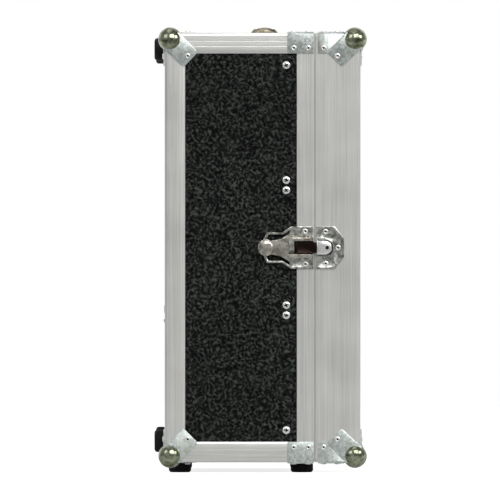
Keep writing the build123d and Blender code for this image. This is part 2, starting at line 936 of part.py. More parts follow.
bottom_frames = foot_frames(bottom_spots, (0, 0, -1))
back_frames = foot_frames(back_spots, TO_BACK)
rubber_foot = foot()
screw_in_foot = foot_screw()
save_group([rubber_foot.moved(frame) for frame in bottom_frames], "bottom_feet")
save_group([rubber_foot.moved(frame) for frame in back_frames], "back_feet")
save_group([screw_in_foot.moved(frame) for frame in bottom_frames + back_frames], "foot_screws")


# Strap handle: two end caps, a strap that slides in them, and a grip on its middle
handle_x = back_x + handle_from_back
strap_reach = handle_span / 2 - cap_length / 2 + cap_pocket_length - strap_end_room


def handle_cap(side):
    """A chromed end cap on the top panel: a low dome, open towards the handle's middle."""
    seat = (handle_x, side * handle_span / 2, panel_z[1])
    half = cap_width / 2
    with BuildPart() as cap:
        with BuildSketch(Plane(seat, x_dir=(1, 0, 0), z_dir=(0, -1, 0))):
            with BuildLine():
                Polyline((half, cap_edge), (half, 0), (-half, 0), (-half, cap_edge))
                ThreePointArc((-half, cap_edge), (0, cap_height), (half, cap_edge))
            make_face()
        extrude(amount=cap_length / 2, both=True)
        far_end = cap.faces().sort_by(Axis.Y)[-1 if side > 0 else 0]
        chamfer(far_end.edges().sort_by(Axis.Z)[-1], cap_slope)
        mouth = side * (handle_span - cap_length) / 2
        with Locations((handle_x, mouth, panel_z[1] + strap_lift + strap_thick / 2)):
            Box(
                strap_width + 2 * cap_pocket_room,
                2 * cap_pocket_length,
                strap_thick + 2 * cap_pocket_room,
                mode=Mode.SUBTRACT,
            )
    return cap.part


def strap_end(side):
    """The strap from the grip's end to its end in the cap's pocket."""
    return block(
        (handle_x - strap_width / 2, handle_x + strap_width / 2),
        (side * grip_length / 2, side * strap_reach),
        (panel_z[1] + strap_lift, panel_z[1] + strap_lift + strap_thick),
    )


def grip():
    """The moulded grip on the middle of the strap."""
    seat = panel_z[1] + grip_lift
    with BuildPart() as sleeve:
        with Locations((handle_x, 0, seat)):
            Box(grip_width, grip_length, grip_thick, align=ON_BASE)
        chamfer(sleeve.edges().filter_by(Axis.Y), grip_bevel)
    return sleeve.part


save_group([handle_cap(side) for side in (-1, 1)], "handle_caps")
for end_name, end_side in ENDS.items():
    save(strap_end(end_side), f"handle_strap_{end_name}")
save(grip(), "handle_grip")


# Draw latches. In a latch's own frame X is towards the lid from the seam, Y is along the case's
# height and Z is out of the case's end face.
def mirrored(points):
    """An outline from one half of it: the points, and the same across the X axis."""
    return [*points, *[(u, -v) for u, v in reversed(points) if v]]


def latch_plate():
    """The base plate: a shaped sheet with a raised rim, and two lugs for the lever's pivots."""
    half_outline = [
        (-latch_tail, latch_tail_half),
        (-latch_narrow_start, latch_narrow_half),
        (-latch_narrow_end, latch_narrow_half),
        (-latch_wide_start, latch_wide_half),
        (-latch_seam_gap, latch_wide_half),
    ]
    with BuildPart() as plate:
        with BuildSketch() as outline:
            Polygon(*mirrored(half_outline), align=None)
        extrude(amount=latch_sheet)
        with BuildSketch(Plane.XY.offset(latch_sheet)):
            add(outline.sketch)
            offset(amount=-latch_rim_width, mode=Mode.SUBTRACT)
        extrude(amount=latch_rim_height)
        with BuildSketch():
            add(outline.sketch)
            with Locations((-rim_cover, 0)):
                over_rim = (Align.MIN, Align.CENTER)
                Rectangle(latch_tail, 3 * latch_wide_half, align=over_rim, mode=Mode.SUBTRACT)
        extrude(amount=-profile_wall)
        for side in (-1, 1):
            middle = side * (lug_inner + latch_sheet / 2)
            with BuildSketch(Plane.XZ.offset(-middle)):
                with Locations((-pivot_back, pivot_height)):
                    RegularPolygon(lug_half_width, pin_sides)
                with Locations((-pivot_back, 0)):
                    Rectangle(2 * lug_half_width, pivot_height, align=(Align.CENTER, Align.MIN))
                with Locations((-pivot_back, pivot_height)):
                    RegularPolygon(pivot_radius, pin_sides, mode=Mode.SUBTRACT)
            extrude(amount=latch_sheet / 2, both=True)
    return plate.part


def cross_pin(u, n, radius, v_low, v_high):
    """A pin along the latch's Y."""
    with BuildPart() as pin:
        with BuildSketch(Plane((u, v_low, n), x_dir=(1, 0, 0), z_dir=(0, 1, 0))):
            RegularPolygon(radius, pin_sides)
        extrude(amount=v_high - v_low)
    return pin.part


def pivot_studs():
    """Two studs that the lever swings on, set in the lugs and clear of the claw."""
    inner = lever_half - lever_sheet - pivot_inside
    outer = lug_inner + latch_sheet + pivot_proud
    spans = ((inner, outer), (-outer, -inner))
    return [cross_pin(-pivot_back, pivot_height, pivot_radius, *span) for span in spans]


def claw_pin():
    """The pin between the lever's arms that carries the claw."""
    return cross_pin(-link_back, link_height, link_radius, -lever_half, lever_half)


def lever_hollow():
    """The space under the lever's top and between its arms."""
    inner = lever_sheet
    with BuildPart() as hollow:
        with BuildSketch(Plane.XZ):
            Polygon(
                (lever_eye, -lever_eye),
                (lever_eye, lever_top - inner),
                (-lever_bend, lever_top - inner),
                (-lever_tab_start, lever_dip - inner),
                (-lever_tab_start, -lever_eye),
                align=None,
            )
        extrude(amount=lever_half, both=True)
        with BuildSketch():
            half_outline = [
                (lever_eye, lever_half - inner),
                (-lever_window_back, lever_half - inner),
                (-lever_tab_start, lever_neck_half - inner),
            ]
            Polygon(*mirrored(half_outline), align=None)
        extrude(amount=2 * lever_top, both=True, mode=Mode.INTERSECT)
    return hollow.part


def lever():
    """The pressed lever: a tapering channel with a thumb tab, forked in front for the claw."""
    hollow = lever_hollow()
    tip_centre = lever_tip - lever_tip_half
    with BuildPart() as channel:
        with BuildSketch(Plane.XZ):
            Polygon(
                (-pivot_back, lever_top),
                (-lever_bend, lever_top),
                (-lever_tab_start, lever_dip),
                (-lever_tip, lever_tip_rise),
                (-lever_tip, lever_tip_rise - lever_tab_thick),
                (-lever_tab_start, lever_dip - lever_tab_thick),
                (-lever_window_back, lever_skirt),
                (-pivot_back, pivot_height - lever_eye),
                align=None,
            )
            with Locations((-pivot_back, pivot_height)):
                RegularPolygon(lever_eye, pin_sides)
        extrude(amount=lever_half, both=True)
        with BuildSketch():
            half_outline = [
                (0, lever_half),
                (-lever_window_back, lever_half),
                (-lever_tab_start, lever_neck_half),
                (-tip_centre, lever_tip_half),
            ]
            Polygon(*mirrored(half_outline), align=None)
            with Locations((-tip_centre, 0)):
                Circle(lever_tip_half)
        extrude(amount=2 * lever_top, mode=Mode.INTERSECT)
        add(hollow, mode=Mode.SUBTRACT)
        with BuildSketch():
            with Locations((-lever_window_back, 0)):
                Rectangle(
                    2 * lever_window_back, 2 * lever_window_half, align=(Align.MIN, Align.CENTER)
                )
        extrude(amount=2 * lever_top, mode=Mode.SUBTRACT)
        with BuildSketch(Plane.XZ):
            with Locations((-pivot_back, pivot_height)):
                RegularPolygon(pivot_radius + running_gap, pin_sides, major_radius=False)
            with Locations((-link_back, link_height)):
                RegularPolygon(link_radius, pin_sides)
        extrude(amount=2 * lever_half, both=True, mode=Mode.SUBTRACT)
    return channel.part


def claw():
    """The claw: an eye on the lever's pin, a flat bar, a sloped hook and a rounded nose."""
    slope = tan(radians(hook_slope))
    under = ridge_top + claw_room
    hook_start = ridge_crest + hook_room - (under - ridge_top) / slope
    hook_end = hook_start + (under - hook_bottom) / slope + hook_flat
    with BuildPart() as bar_part:
        with BuildSketch(Plane.XZ):
            Polygon(
                (-link_back, under),
                (hook_start, under),
                (hook_end - hook_flat, hook_bottom),
                (hook_end, hook_bottom),
                (hook_end + hook_back_slope, under),
                (claw_nose, under),
                (claw_nose, under + claw_sheet),
                (-link_back, under + claw_sheet),
                align=None,
            )
            with Locations((-link_back, link_height)):
                RegularPolygon(link_eye, pin_sides)
                RegularPolygon(
                    link_radius + running_gap, pin_sides, major_radius=False, mode=Mode.SUBTRACT
                )
        extrude(amount=claw_nose_half, both=True)
        with BuildSketch():
            back = -link_back - link_eye
            with Locations((back, 0)):
                Rectangle(claw_nose_start - back, 2 * claw_half, align=(Align.MIN, Align.CENTER))
            round_start = claw_nose - claw_nose_half
            with Locations((claw_nose_start, 0)):
                Rectangle(
                    round_start - claw_nose_start, 2 * claw_nose_half, align=(Align.MIN, Align.CENTER)
                )
            with Locations((round_start, 0)):
                Circle(claw_nose_half)
        extrude(amount=2 * lever_top, mode=Mode.INTERSECT)
    return bar_part.part


def latch_keeper():
    """The keeper on the lid: a plate, the ridge that the claw hooks on and a horseshoe round it."""
    half_outline = [
        (keeper_gap, keeper_half),
        (keeper_shoulder, keeper_half),
        (keeper_nose, keeper_nose_half),
    ]
    slope = tan(radians(hook_slope))
    with BuildPart() as keeper:
        with BuildSketch() as outline:
            Polygon(*mirrored(half_outline), align=None)
        extrude(amount=latch_sheet)
        with BuildSketch(Plane.XY.offset(latch_sheet)):
            add(outline.sketch)
            offset(amount=-latch_rim_width, mode=Mode.SUBTRACT)
        extrude(amount=latch_rim_height)
        shoe_start = keeper_gap + latch_rim_width
        with BuildSketch(Plane.XY.offset(latch_sheet)):
            for radius, mode in ((shoe_inner + shoe_wall, Mode.ADD), (shoe_inner, Mode.SUBTRACT)):
                with Locations((shoe_centre, 0)):
                    Circle(radius, mode=mode)
                    Rectangle(
                        shoe_centre - shoe_start, 2 * radius, align=(Align.MAX, Align.CENTER), mode=mode
                    )
            with Locations((shoe_start, 0)):
                Rectangle(
                    2 * shoe_inner, 4 * shoe_inner, align=(Align.MAX, Align.CENTER), mode=Mode.SUBTRACT
                )
        extrude(amount=shoe_height)
        with BuildSketch(Plane.XZ):
            Polygon(
                (ridge_near, latch_sheet),
                (ridge_near + ridge_near_slope, ridge_top),
                (ridge_crest, ridge_top),
                (ridge_crest + (ridge_top - latch_sheet) / slope, latch_sheet),
                align=None,
            )
        extrude(amount=ridge_half, both=True)
    return keeper.part


save_group([latch_plate().moved(frame) for frame in LATCH_FRAMES], "latch_plates")
save_group([stud.moved(frame) for frame in LATCH_FRAMES for stud in pivot_studs()], "latch_pivots")
save_group([latch_keeper().moved(frame) for frame in LATCH_FRAMES], "latch_keepers")
for end_name, frame in zip(ENDS, LATCH_FRAMES):
    save(lever().moved(frame), f"{end_name}_lever")
    save(claw_pin().moved(frame), f"{end_name}_claw_pin")
    save(claw().moved(frame), f"{end_name}_claw")
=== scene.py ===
# %% [markdown]
# # A flight-case style synth case
#
# The case is an aluminium-edged box that stands on one of its long sides. This file dresses a
# finished frame of real parts. Panels, rails and boards keep their shape and get a finish. The
# profiles, and small turned and pressed pieces such as rivets, screws, feet, ball corners and the
# latches, are made again here with the rounded edges that catch the light.
#
# Every length is in metres. X runs from the back of the case to its lid, Y from the left end to
# the right end, and Z is up.

# %% Load the frame
import math

import bmesh
import bpy
from mathutils import Matrix, Vector


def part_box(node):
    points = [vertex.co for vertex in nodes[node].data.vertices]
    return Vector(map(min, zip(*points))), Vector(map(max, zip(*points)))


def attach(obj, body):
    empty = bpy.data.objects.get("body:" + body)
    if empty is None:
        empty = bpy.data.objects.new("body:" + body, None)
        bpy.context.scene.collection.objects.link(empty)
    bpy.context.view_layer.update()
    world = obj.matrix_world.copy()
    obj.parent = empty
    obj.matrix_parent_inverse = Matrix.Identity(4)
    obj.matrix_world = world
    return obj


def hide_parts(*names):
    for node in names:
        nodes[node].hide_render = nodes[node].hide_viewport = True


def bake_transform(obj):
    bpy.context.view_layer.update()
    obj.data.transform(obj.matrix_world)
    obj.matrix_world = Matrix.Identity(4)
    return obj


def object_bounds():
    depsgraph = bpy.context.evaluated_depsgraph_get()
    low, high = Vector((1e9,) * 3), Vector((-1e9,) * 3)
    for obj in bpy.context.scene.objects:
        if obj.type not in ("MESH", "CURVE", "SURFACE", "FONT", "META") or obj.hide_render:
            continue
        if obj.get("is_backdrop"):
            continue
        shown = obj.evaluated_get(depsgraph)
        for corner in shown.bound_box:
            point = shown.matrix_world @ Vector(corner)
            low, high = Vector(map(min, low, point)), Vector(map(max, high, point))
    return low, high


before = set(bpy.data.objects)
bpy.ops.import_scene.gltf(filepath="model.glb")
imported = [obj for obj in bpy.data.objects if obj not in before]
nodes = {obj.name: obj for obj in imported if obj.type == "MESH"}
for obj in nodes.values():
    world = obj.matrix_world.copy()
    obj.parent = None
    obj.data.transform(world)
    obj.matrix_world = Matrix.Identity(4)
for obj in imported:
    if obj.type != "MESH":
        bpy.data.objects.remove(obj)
cad_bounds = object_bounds()
MM = 0.001
print("parts in the frame:", len(nodes))

# %% [markdown]
# ## The camera
#
# The photograph looks square on at the left end of the case from far away, so that hardly
# anything recedes. A long lens at twenty metres gives that. The picture is a little over half a
# metre wide where it meets the end of the case.


# %% Camera
def new_object(name, data):
    """An object round its data, linked into the scene."""
    made = bpy.data.objects.new(name, data)
    bpy.context.scene.collection.objects.link(made)
    return made


end_face_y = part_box("edge_top_left")[0].y
picture_width = 0.533
picture_middle = Vector((-0.0113, end_face_y, 0.2375))
camera_distance = 20.0

camera_data = bpy.data.cameras.new("camera")
camera_data.sensor_width = 36
camera_data.lens = camera_data.sensor_width * camera_distance / picture_width
camera_data.clip_end = 80
camera = new_object("camera", camera_data)
camera.location = picture_middle + Vector((0, -camera_distance, 0))
camera.rotation_euler = (math.pi / 2, 0, 0)
bpy.context.scene.camera = camera
bpy.context.scene.view_settings.view_transform = "Standard"

# %% [markdown]
# ## Sums on surfaces
#
# A finish is a small web of nodes. Written out node by node it is hard to read, so the two
# classes below let it be written as sums: `Signal` stands for a value that changes over the
# surface, and adding or multiplying two of them adds the right Math node.


# %% Signal and Finish
def add_node(tree, kind, settings=None, inputs=None):
    """A new node. Its settings come first, then a value or a link for each input."""
    made = tree.nodes.new(kind)
    for name, value in (settings or {}).items():
        setattr(made, name, value)
    for name, value in (inputs or {}).items():
        if isinstance(value, bpy.types.NodeSocket):
            tree.links.new(value, made.inputs[name])
        else:
            made.inputs[name].default_value = value
    return made


class Signal:
    """A value that varies over a surface: one output socket in a finish."""

    def __init__(self, finish, socket):
        self.finish = finish
        self.socket = socket

    def maths(self, operation, first, second):
        return self.finish.node("ShaderNodeMath", {"operation": operation}, {0: first, 1: second})

    def __add__(self, other):
        return self.maths("ADD", self, other)

    def __radd__(self, other):
        return self.maths("ADD", other, self)

    def __sub__(self, other):
        return self.maths("SUBTRACT", self, other)

    def __rsub__(self, other):
        return self.maths("SUBTRACT", other, self)

    def __mul__(self, other):
        return self.maths("MULTIPLY", self, other)

    def __rmul__(self, other):
        return self.maths("MULTIPLY", other, self)


class Finish:
    """A material and its nodes. node() adds any node and gives back one of its outputs."""

    def __init__(self, name, **constants):
        self.material = bpy.data.materials.new(name)
        self.material.use_nodes = True
        self.tree = self.material.node_tree
        self.shader = self.tree.nodes["Principled BSDF"]
        for socket, value in constants.items():
            self.shader.inputs[socket.replace("_", " ")].default_value = value
        self.place = self.node("ShaderNodeTexCoord", output="Object")

    def node(self, kind, settings=None, inputs=None, output=0):
        values = {}
        for name, value in (inputs or {}).items():
            values[name] = value.socket if isinstance(value, Signal) else value
        return Signal(self, add_node(self.tree, kind, settings, values).outputs[output])

    def feed(self, **signals):
        for socket, signal in signals.items():
            self.tree.links.new(signal.socket, self.shader.inputs[socket.replace("_", " ")])

    def noise(self, scale, detail, place=None, distortion=0.0):
        inputs = {
            "Vector": place or self.place,
            "Scale": scale,
            "Detail": detail,
            "Distortion": distortion,
        }
        return self.node("ShaderNodeTexNoise", None, inputs)

    def between(self, signal, low, high):
        """The signal stretched so that low becomes 0 and high becomes 1."""
        inputs = {"Value": signal, "From Min": low, "From Max": high}
        return self.node("ShaderNodeMapRange", {"clamp": True}, inputs)

    def mix(self, mask, first, second):
        """Two colours mixed. A plain one is given as its red, green and blue."""
        first, second = (c if isinstance(c, Signal) else (*c, 1) for c in (first, second))
        inputs = {0: mask, 6: first, 7: second}
        return self.node("ShaderNodeMix", {"data_type": "RGBA"}, inputs, output=2)

    def bump(self, height, distance, strength=1.0):
        inputs = {"Height": height, "Distance": distance, "Strength": strength}
        self.feed(Normal=self.node("ShaderNodeBump", None, inputs))


# %% [markdown]
# ## Leatherette
#
# The plywood is covered in black vinyl with a fine pebbled grain. A smooth noise with a period of
# three millimetres is bent by a coarser one, so that its crowns run together in loose curves with
# small dark pits between them. The pits are painted darker as shade and stay dull, and the crowns
# are painted lighter as a highlight and shine a little. A low specular level keeps the vinyl black
# where it mirrors the bright room.

# %% Leatherette
GRAIN_SCALE = 320
BEND_SCALE = 70
BEND_REACH = 0.009


def leatherette():
    vinyl = Finish("leatherette", Specular_IOR_Level=0.05)
    bend_inputs = {"Vector": vinyl.place, "Scale": BEND_SCALE}
    bend = vinyl.node("ShaderNodeTexNoise", None, bend_inputs, output="Color")
    bent = vinyl.node(
        "ShaderNodeVectorMath",
        {"operation": "MULTIPLY_ADD"},
        {0: bend, 1: (BEND_REACH,) * 3, 2: vinyl.place},
    )
    grain = vinyl.noise(GRAIN_SCALE, 1.0, bent)
    raised = vinyl.between(grain, 0.34, 0.70)
    crown = raised * raised
    shallow = vinyl.between(vinyl.noise(45, 2), 0.35, 0.68)
    patches = vinyl.between(vinyl.noise(7, 2), 0.35, 0.65)
    # Painted shade for the pits and a painted highlight for the crowns, mixed by the crowns'
    # height.
    pit_shade = vinyl.mix(shallow, (0.0003, 0.0005, 0.0004), (0.0035, 0.0044, 0.0038))
    crown_highlight = vinyl.mix(patches, (0.045, 0.050, 0.045), (0.062, 0.069, 0.062))
    fine = vinyl.noise(1500, 2)
    vinyl.feed(
        Base_Color=vinyl.mix(crown, pit_shade, crown_highlight),
        Roughness=0.52 - crown * 0.16 + fine * 0.1,
    )
    vinyl.bump(crown * 0.85 + fine * 0.15, 0.0008, 1.0)
    return vinyl.material


# %% [markdown]
# ## Aluminium
#
# The profiles and rims are pushed through a die, so their grain runs along their length. The noise
# is stretched about eightyfold that way, which turns its spots into long streaks. A rim along Z
# needs other streaks than one along X, so there is one finish for each direction.

# %% Aluminium
STREAK = 0.012


def alloy(level):
    """Aluminium's own warm tint at a level of brightness."""
    level = min(level, 1.0)
    return (level, level, level * 0.965)


def aluminium(name, along, level=0.73):
    metal = Finish(name, Metallic=1.0)
    scale = [1.0, 1.0, 1.0]
    scale[along] = STREAK
    drawn = metal.node("ShaderNodeMapping", None, {"Vector": metal.place, "Scale": scale})
    streaks = metal.noise(900, 3, drawn)
    broad = metal.noise(140, 2, drawn)
    clouds = metal.noise(22, 3)
    shade = metal.between(streaks * 0.55 + broad * 0.3 + clouds * 0.15, 0.36, 0.64)
    metal.feed(
        Base_Color=metal.mix(shade, alloy(level * 0.86), alloy(level * 1.12)),
        Roughness=0.36 + clouds * 0.10 - streaks * 0.06,
    )
    metal.bump(streaks, 0.00006, 0.6)
    return metal.material


# %% [markdown]
# ## Zinc, nickel and chrome
#
# The corner plates are zinc-plated steel, with the mottled spangle of the bath. The latch and
# the screws are nickel and chrome: smoother, brighter, and dulled by handling here and there.


# %% Plated steel
def zinc():
    metal = Finish("zinc_plate", Metallic=1.0)
    crystals = {"Vector": metal.place, "Scale": 420}
    spangle = metal.node("ShaderNodeTexVoronoi", {"feature": "F1"}, crystals, output="Color")
    grain = metal.node("ShaderNodeSeparateColor", None, {"Color": spangle})
    speckle = metal.noise(1300, 4)
    film = metal.noise(70, 3)
    shade = metal.between(grain * 0.5 + speckle * 0.5, 0.25, 0.75)
    cool = metal.mix(shade, (0.42, 0.47, 0.465), (0.76, 0.82, 0.80))
    metal.feed(
        Base_Color=metal.mix(metal.between(film, 0.4, 0.75) * 0.5, cool, (0.50, 0.50, 0.40)),
        Roughness=0.28 + speckle * 0.2,
    )
    metal.bump(speckle, 0.00012, 0.5)
    return metal.material


# The colour painted into holes and recesses as their shade.
RECESS_SHADE_COLOUR = (0.022, 0.014, 0.012)


def plated(name, dark, bright, roughness, waves=0.0):
    """A bright finish between two tones, with waves from the press and painted shade in the
    hollows.
    """
    metal = Finish(name, Metallic=1.0)
    # Faces marked as lying in a hole or recess take the dark colour: painted shade.
    marked = {"attribute_type": "GEOMETRY", "attribute_name": "painted_recess_shade"}
    painted_recess_shade = metal.node("ShaderNodeAttribute", marked, output="Fac")
    film = metal.noise(160, 4, distortion=0.6)
    smudge = metal.noise(900, 3)
    tone = metal.mix(metal.between(film, 0.35, 0.65), dark, bright)
    metal.feed(
        Base_Color=metal.mix(painted_recess_shade, tone, RECESS_SHADE_COLOUR),
        Roughness=roughness + smudge * 0.12,
    )
    metal.bump(metal.noise(110, 1) * waves + smudge * 0.03, 0.001, 1.0)
    return metal.material


# %% [markdown]
# ## Rubber, plastic and boards
#
# Moulded pieces are plain to the eye but never quite even: a faint grain breaks up the shine.


# %% Moulded finishes
def moulded(name, colour, roughness, grain=1400):
    stuff = Finish(name, Specular_IOR_Level=0.25)
    speckle = stuff.noise(grain, 3)
    dust = stuff.noise(60, 3)
    lighter = [share * 1.7 + 0.004 for share in colour]
    stuff.feed(
        Base_Color=stuff.mix(dust * 0.5, colour, lighter),
        Roughness=roughness + speckle * 0.12,
    )
    stuff.bump(speckle, 0.00008, 0.5)
    return stuff.material


def circuit_board():
    """Green lacquer over copper tracks that run across the board."""
    board = Finish("circuit_board")
    bands = {"Vector": board.place, "Scale": 260}
    tracks = board.node("ShaderNodeTexWave", {"bands_direction": "Z"}, bands)
    lanes = board.between(tracks, 0.45, 0.55)
    speckle = board.noise(800, 2)
    board.feed(
        Base_Color=board.mix(lanes, (0.006, 0.055, 0.022), (0.012, 0.105, 0.04)),
        Roughness=0.28 + speckle * 0.12,
    )
    board.bump(lanes, 0.00005, 0.5)
    return board.material


# %% Make the finishes
LEATHERETTE = leatherette()
ALUMINIUM_X = aluminium("aluminium_x", 0)
# A brighter copy of the aluminium for the top profiles: painted light from above.
ALUMINIUM_TOP_LIT = aluminium("aluminium_top_painted_light", 0, level=0.88)
ALUMINIUM_Y = aluminium("aluminium_y", 1)
ALUMINIUM_Z = aluminium("aluminium_z", 2)
ZINC = zinc()
BALL_STEEL = plated("ball_steel", (0.10, 0.11, 0.06), (0.40, 0.43, 0.32), 0.10, waves=0.25)
NICKEL = plated("nickel", (0.34, 0.33, 0.29), (0.74, 0.75, 0.72), 0.12, waves=1.0)
LEVER_NICKEL = plated("lever_nickel", (0.30, 0.27, 0.22), (0.66, 0.65, 0.59), 0.14, waves=1.0)
# A darker copy of the nickel for the latch plates and keepers: its low tone is painted shade from
# the latch pieces over them.
SHADED_PLATE_NICKEL = plated("plate_nickel_painted_shade", (0.20, 0.20, 0.17), (0.76, 0.78, 0.74), 0.16, waves=0.8)
BRIGHT_ZINC = plated("bright_zinc", (0.74, 0.76, 0.74), (0.94, 0.95, 0.93), 0.22)
OLD_CHROME = plated("old_chrome", (0.22, 0.18, 0.11), (0.52, 0.48, 0.38), 0.15, waves=0.4)
BRASS = plated("brass", (0.50, 0.36, 0.14), (0.72, 0.55, 0.24), 0.22)
STRIP_STEEL = plated("strip_steel", (0.42, 0.43, 0.42), (0.62, 0.63, 0.61), 0.3)
RUBBER = moulded("rubber", (0.003, 0.003, 0.003), 0.6)
WEBBING_VINYL = moulded("strap_vinyl", (0.012, 0.012, 0.011), 0.45, 700)
GRIP_RUBBER = moulded("grip_rubber", (0.010, 0.010, 0.010), 0.5, 900)
BLACK_PLASTIC = moulded("black_plastic", (0.013, 0.013, 0.014), 0.38)
HEADER_PLASTIC = moulded("header_plastic", (0.016, 0.016, 0.017), 0.42)
SUPPLY_PAINT = moulded("supply_paint", (0.30, 0.31, 0.31), 0.42, 500)
BOARD = circuit_board()
print("finishes:", len(bpy.data.materials))

# %% [markdown]
# ## The parts that keep their shape
#
# Panels, rails, boards and the claws' pins are right as the frame has them. Each of their
# material slots is given the finish of what the part is made of.

# %% Dress the parts that keep their shape
KEPT = {
    "bus_boards": BOARD,
    "board_standoffs": BRASS,
    "left_claw_pin": NICKEL,
    "right_claw_pin": NICKEL,
}
for name in nodes:
    if name.endswith("_panel"):
        KEPT[name] = LEATHERETTE
    if name.startswith("rail_") and name != "rail_screws":
        KEPT[name] = ALUMINIUM_Y
for name, material in KEPT.items():
    for slot in nodes[name].material_slots:
        slot.material = material
print("parts that keep their shape:", len(KEPT))

# %% [markdown]
# ## Reading the frame
#
# Rivets, screws and feet sit where the frame has them. Each part's mesh is a heap of loose
# triangles, so a copy is merged first. Then its separate solids are found by walking from corner
# to corner. A solid's box tells which way it faces: outwards from the middle of the case. Where a
# copy gets rounded edges, the triangles of a flat face are first made one face, because only an
# edge between two such faces is to be rounded.


# %% Find solids and their seats
SAME_PLACE = 0.002 * MM
SAME_PLANE = math.radians(1)


def join_loose(mesh):
    bmesh.ops.remove_doubles(mesh, verts=mesh.verts, dist=SAME_PLACE)


def whole_faces(mesh):
    bmesh.ops.dissolve_limit(mesh, angle_limit=SAME_PLANE, verts=mesh.verts, edges=mesh.edges)


def merged(name):
    """A copy of a part's mesh with its loose triangles joined."""
    mesh = bmesh.new()
    mesh.from_mesh(nodes[name].data)
    join_loose(mesh)
    return mesh


def island_boxes(name):
    """The lowest and highest corner of each separate solid in a part."""
    mesh = merged(name)
    seen = set()
    boxes = []
    for start in mesh.verts:
        if start in seen:
            continue
        seen.add(start)
        waiting = [start]
        places = []
        while waiting:
            corner = waiting.pop()
            places.append(corner.co.copy())
            for edge in corner.link_edges:
                other = edge.other_vert(corner)
                if other not in seen:
                    seen.add(other)
                    waiting.append(other)
        low = Vector([min(place[i] for place in places) for i in range(3)])
        high = Vector([max(place[i] for place in places) for i in range(3)])
        boxes.append((low, high))
    mesh.free()
    return boxes


def seats(name, height, along_longest=False):
    """Where each turned piece of a part sits, and its way out, for a head of the given height."""
    found = []
    for low, high in island_boxes(name):
        size = high - low
        middle = (low + high) / 2
        wanted = max(size) if along_longest else min(size)
        axis = list(size).index(wanted)
        outwards = Vector((0, 0, 0))
        outwards[axis] = math.copysign(1, (middle - case_middle)[axis])
        seat = middle + outwards * (size[axis] / 2 - height)
        found.append((seat, outwards))
    return found


end_low, end_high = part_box("left_end_panel")
case_middle = Vector((0, 0, (end_low.z + end_high.z) / 2))
half_width = -end_face_y
seam_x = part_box("base_rim_left")[1].x
print("rivets on the base:", len(island_boxes("base_rivets")))

# %% [markdown]
# ## Making meshes
#
# A few small helpers cover nearly every piece. `skin` lays faces from one ring of points to the
# next. `turned` spins a profile round an axis, as a lathe does. `pressing` cuts an outline out of
# sheet. `softened` copies a part and rounds its edges, because a real edge is never sharp and its
# rounding is what shines. Sizes are given in millimetres and scaled when the mesh is done.


# %% Mesh helpers
SMOOTH_ANGLE = math.radians(50)


def to_object(mesh, name, material=None, scale=1.0):
    """Turns a bmesh into an object in the scene, smooth where its faces meet gently."""
    if scale != 1.0:
        bmesh.ops.scale(mesh, vec=(scale, scale, scale), verts=mesh.verts)
    data = bpy.data.meshes.new(name)
    mesh.to_mesh(data)
    mesh.free()
    smooth(data)
    if material:
        data.materials.append(material)
    return new_object(name, data)


def smooth(data):
    for polygon in data.polygons:
        polygon.use_smooth = True
    data.set_sharp_from_angle(angle=SMOOTH_ANGLE)


def applied(made):
    """Fixes a piece's modifiers into its mesh."""
    evaluated = made.evaluated_get(bpy.context.evaluated_depsgraph_get())
    result = bpy.data.meshes.new_from_object(evaluated)
    made.modifiers.clear()
    made.data = result
    return made


def worked_again(made):
    """A piece's mesh, free to be worked on again. The piece itself goes."""
    mesh = bmesh.new()
    mesh.from_mesh(made.data)
    bpy.data.objects.remove(made)
    return mesh


def evened(made):
    """Keeps large flat faces flat to the light beside their rounded edges."""
    modifier = made.modifiers.new("weigh", "WEIGHTED_NORMAL")
    modifier.mode = "FACE_AREA"
    modifier.keep_sharp = True
    return applied(made)


def skin(rings, looped=False, capped=False):
    """Faces from ring to ring. A ring of one point makes a tip."""
    mesh = bmesh.new()
    sides = max(len(ring) for ring in rings)
    made = []
    for ring in rings:
        corners = [mesh.verts.new(point) for point in ring]
        made.append(corners * (sides // len(corners)))
    pairs = list(zip(made, made[1:]))
    if looped:
        pairs.append((made[-1], made[0]))
    for lower, upper in pairs:
        for i in range(sides):
            j = (i + 1) % sides
            mesh.faces.new(list(dict.fromkeys((lower[i], lower[j], upper[j], upper[i]))))
    if capped:
        mesh.faces.new(made[0])
        mesh.faces.new(made[-1])
    bmesh.ops.recalc_face_normals(mesh, faces=mesh.faces)
    return mesh


def turned(profile, sides, looped=False):
    """A profile of radius and height, from foot to crown, spun round the Z axis."""
    angles = [2 * math.pi * i / sides for i in range(sides)]
    rings = []
    for radius, height in profile:
        around = angles if radius else [0]
        rings.append([(radius * math.cos(a), radius * math.sin(a), height) for a in around])
    return skin(rings, looped)


def rounded(outline, radius, steps=4):
    """An outline with each corner replaced by an arc, smaller where its sides are short."""
    points = [Vector(p) for p in outline]
    found = []
    for i, corner in enumerate(points):
        before = points[i - 1] - corner
        after = points[(i + 1) % len(points)] - corner
        half = before.angle(after) / 2
        reach = min(radius / math.tan(half), before.length * 0.45, after.length * 0.45)
        arc_radius = reach * math.tan(half)
        inwards = (before.normalized() + after.normalized()).normalized()
        centre = corner + inwards * (arc_radius / math.sin(half))
        start = (corner + before.normalized() * reach - centre).normalized()
        end = (corner + after.normalized() * reach - centre).normalized()
        for step in range(steps + 1):
            found.append(centre + start.slerp(end, step / steps, start) * arc_radius)
    return found


def oblong(left, right, half):
    return [(left, -half), (right, -half), (right, half), (left, half)]


def outline_solid(outline, low, high):
    """An outline in U and V made solid between two heights."""
    return skin([[(u, v, height) for u, v in outline] for height in (low, high)], capped=True)


def soften(mesh, width, segments=2, angle=28):
    """Rounds the edges where two faces meet at more than an angle."""
    limit = math.radians(angle)
    sharp = [e for e in mesh.edges if len(e.link_faces) == 2 and e.calc_face_angle(0) > limit]
    rounding = {"offset": width, "segments": segments, "profile": 0.5, "affect": "EDGES"}
    bmesh.ops.bevel(mesh, geom=sharp, clamp_overlap=True, **rounding)


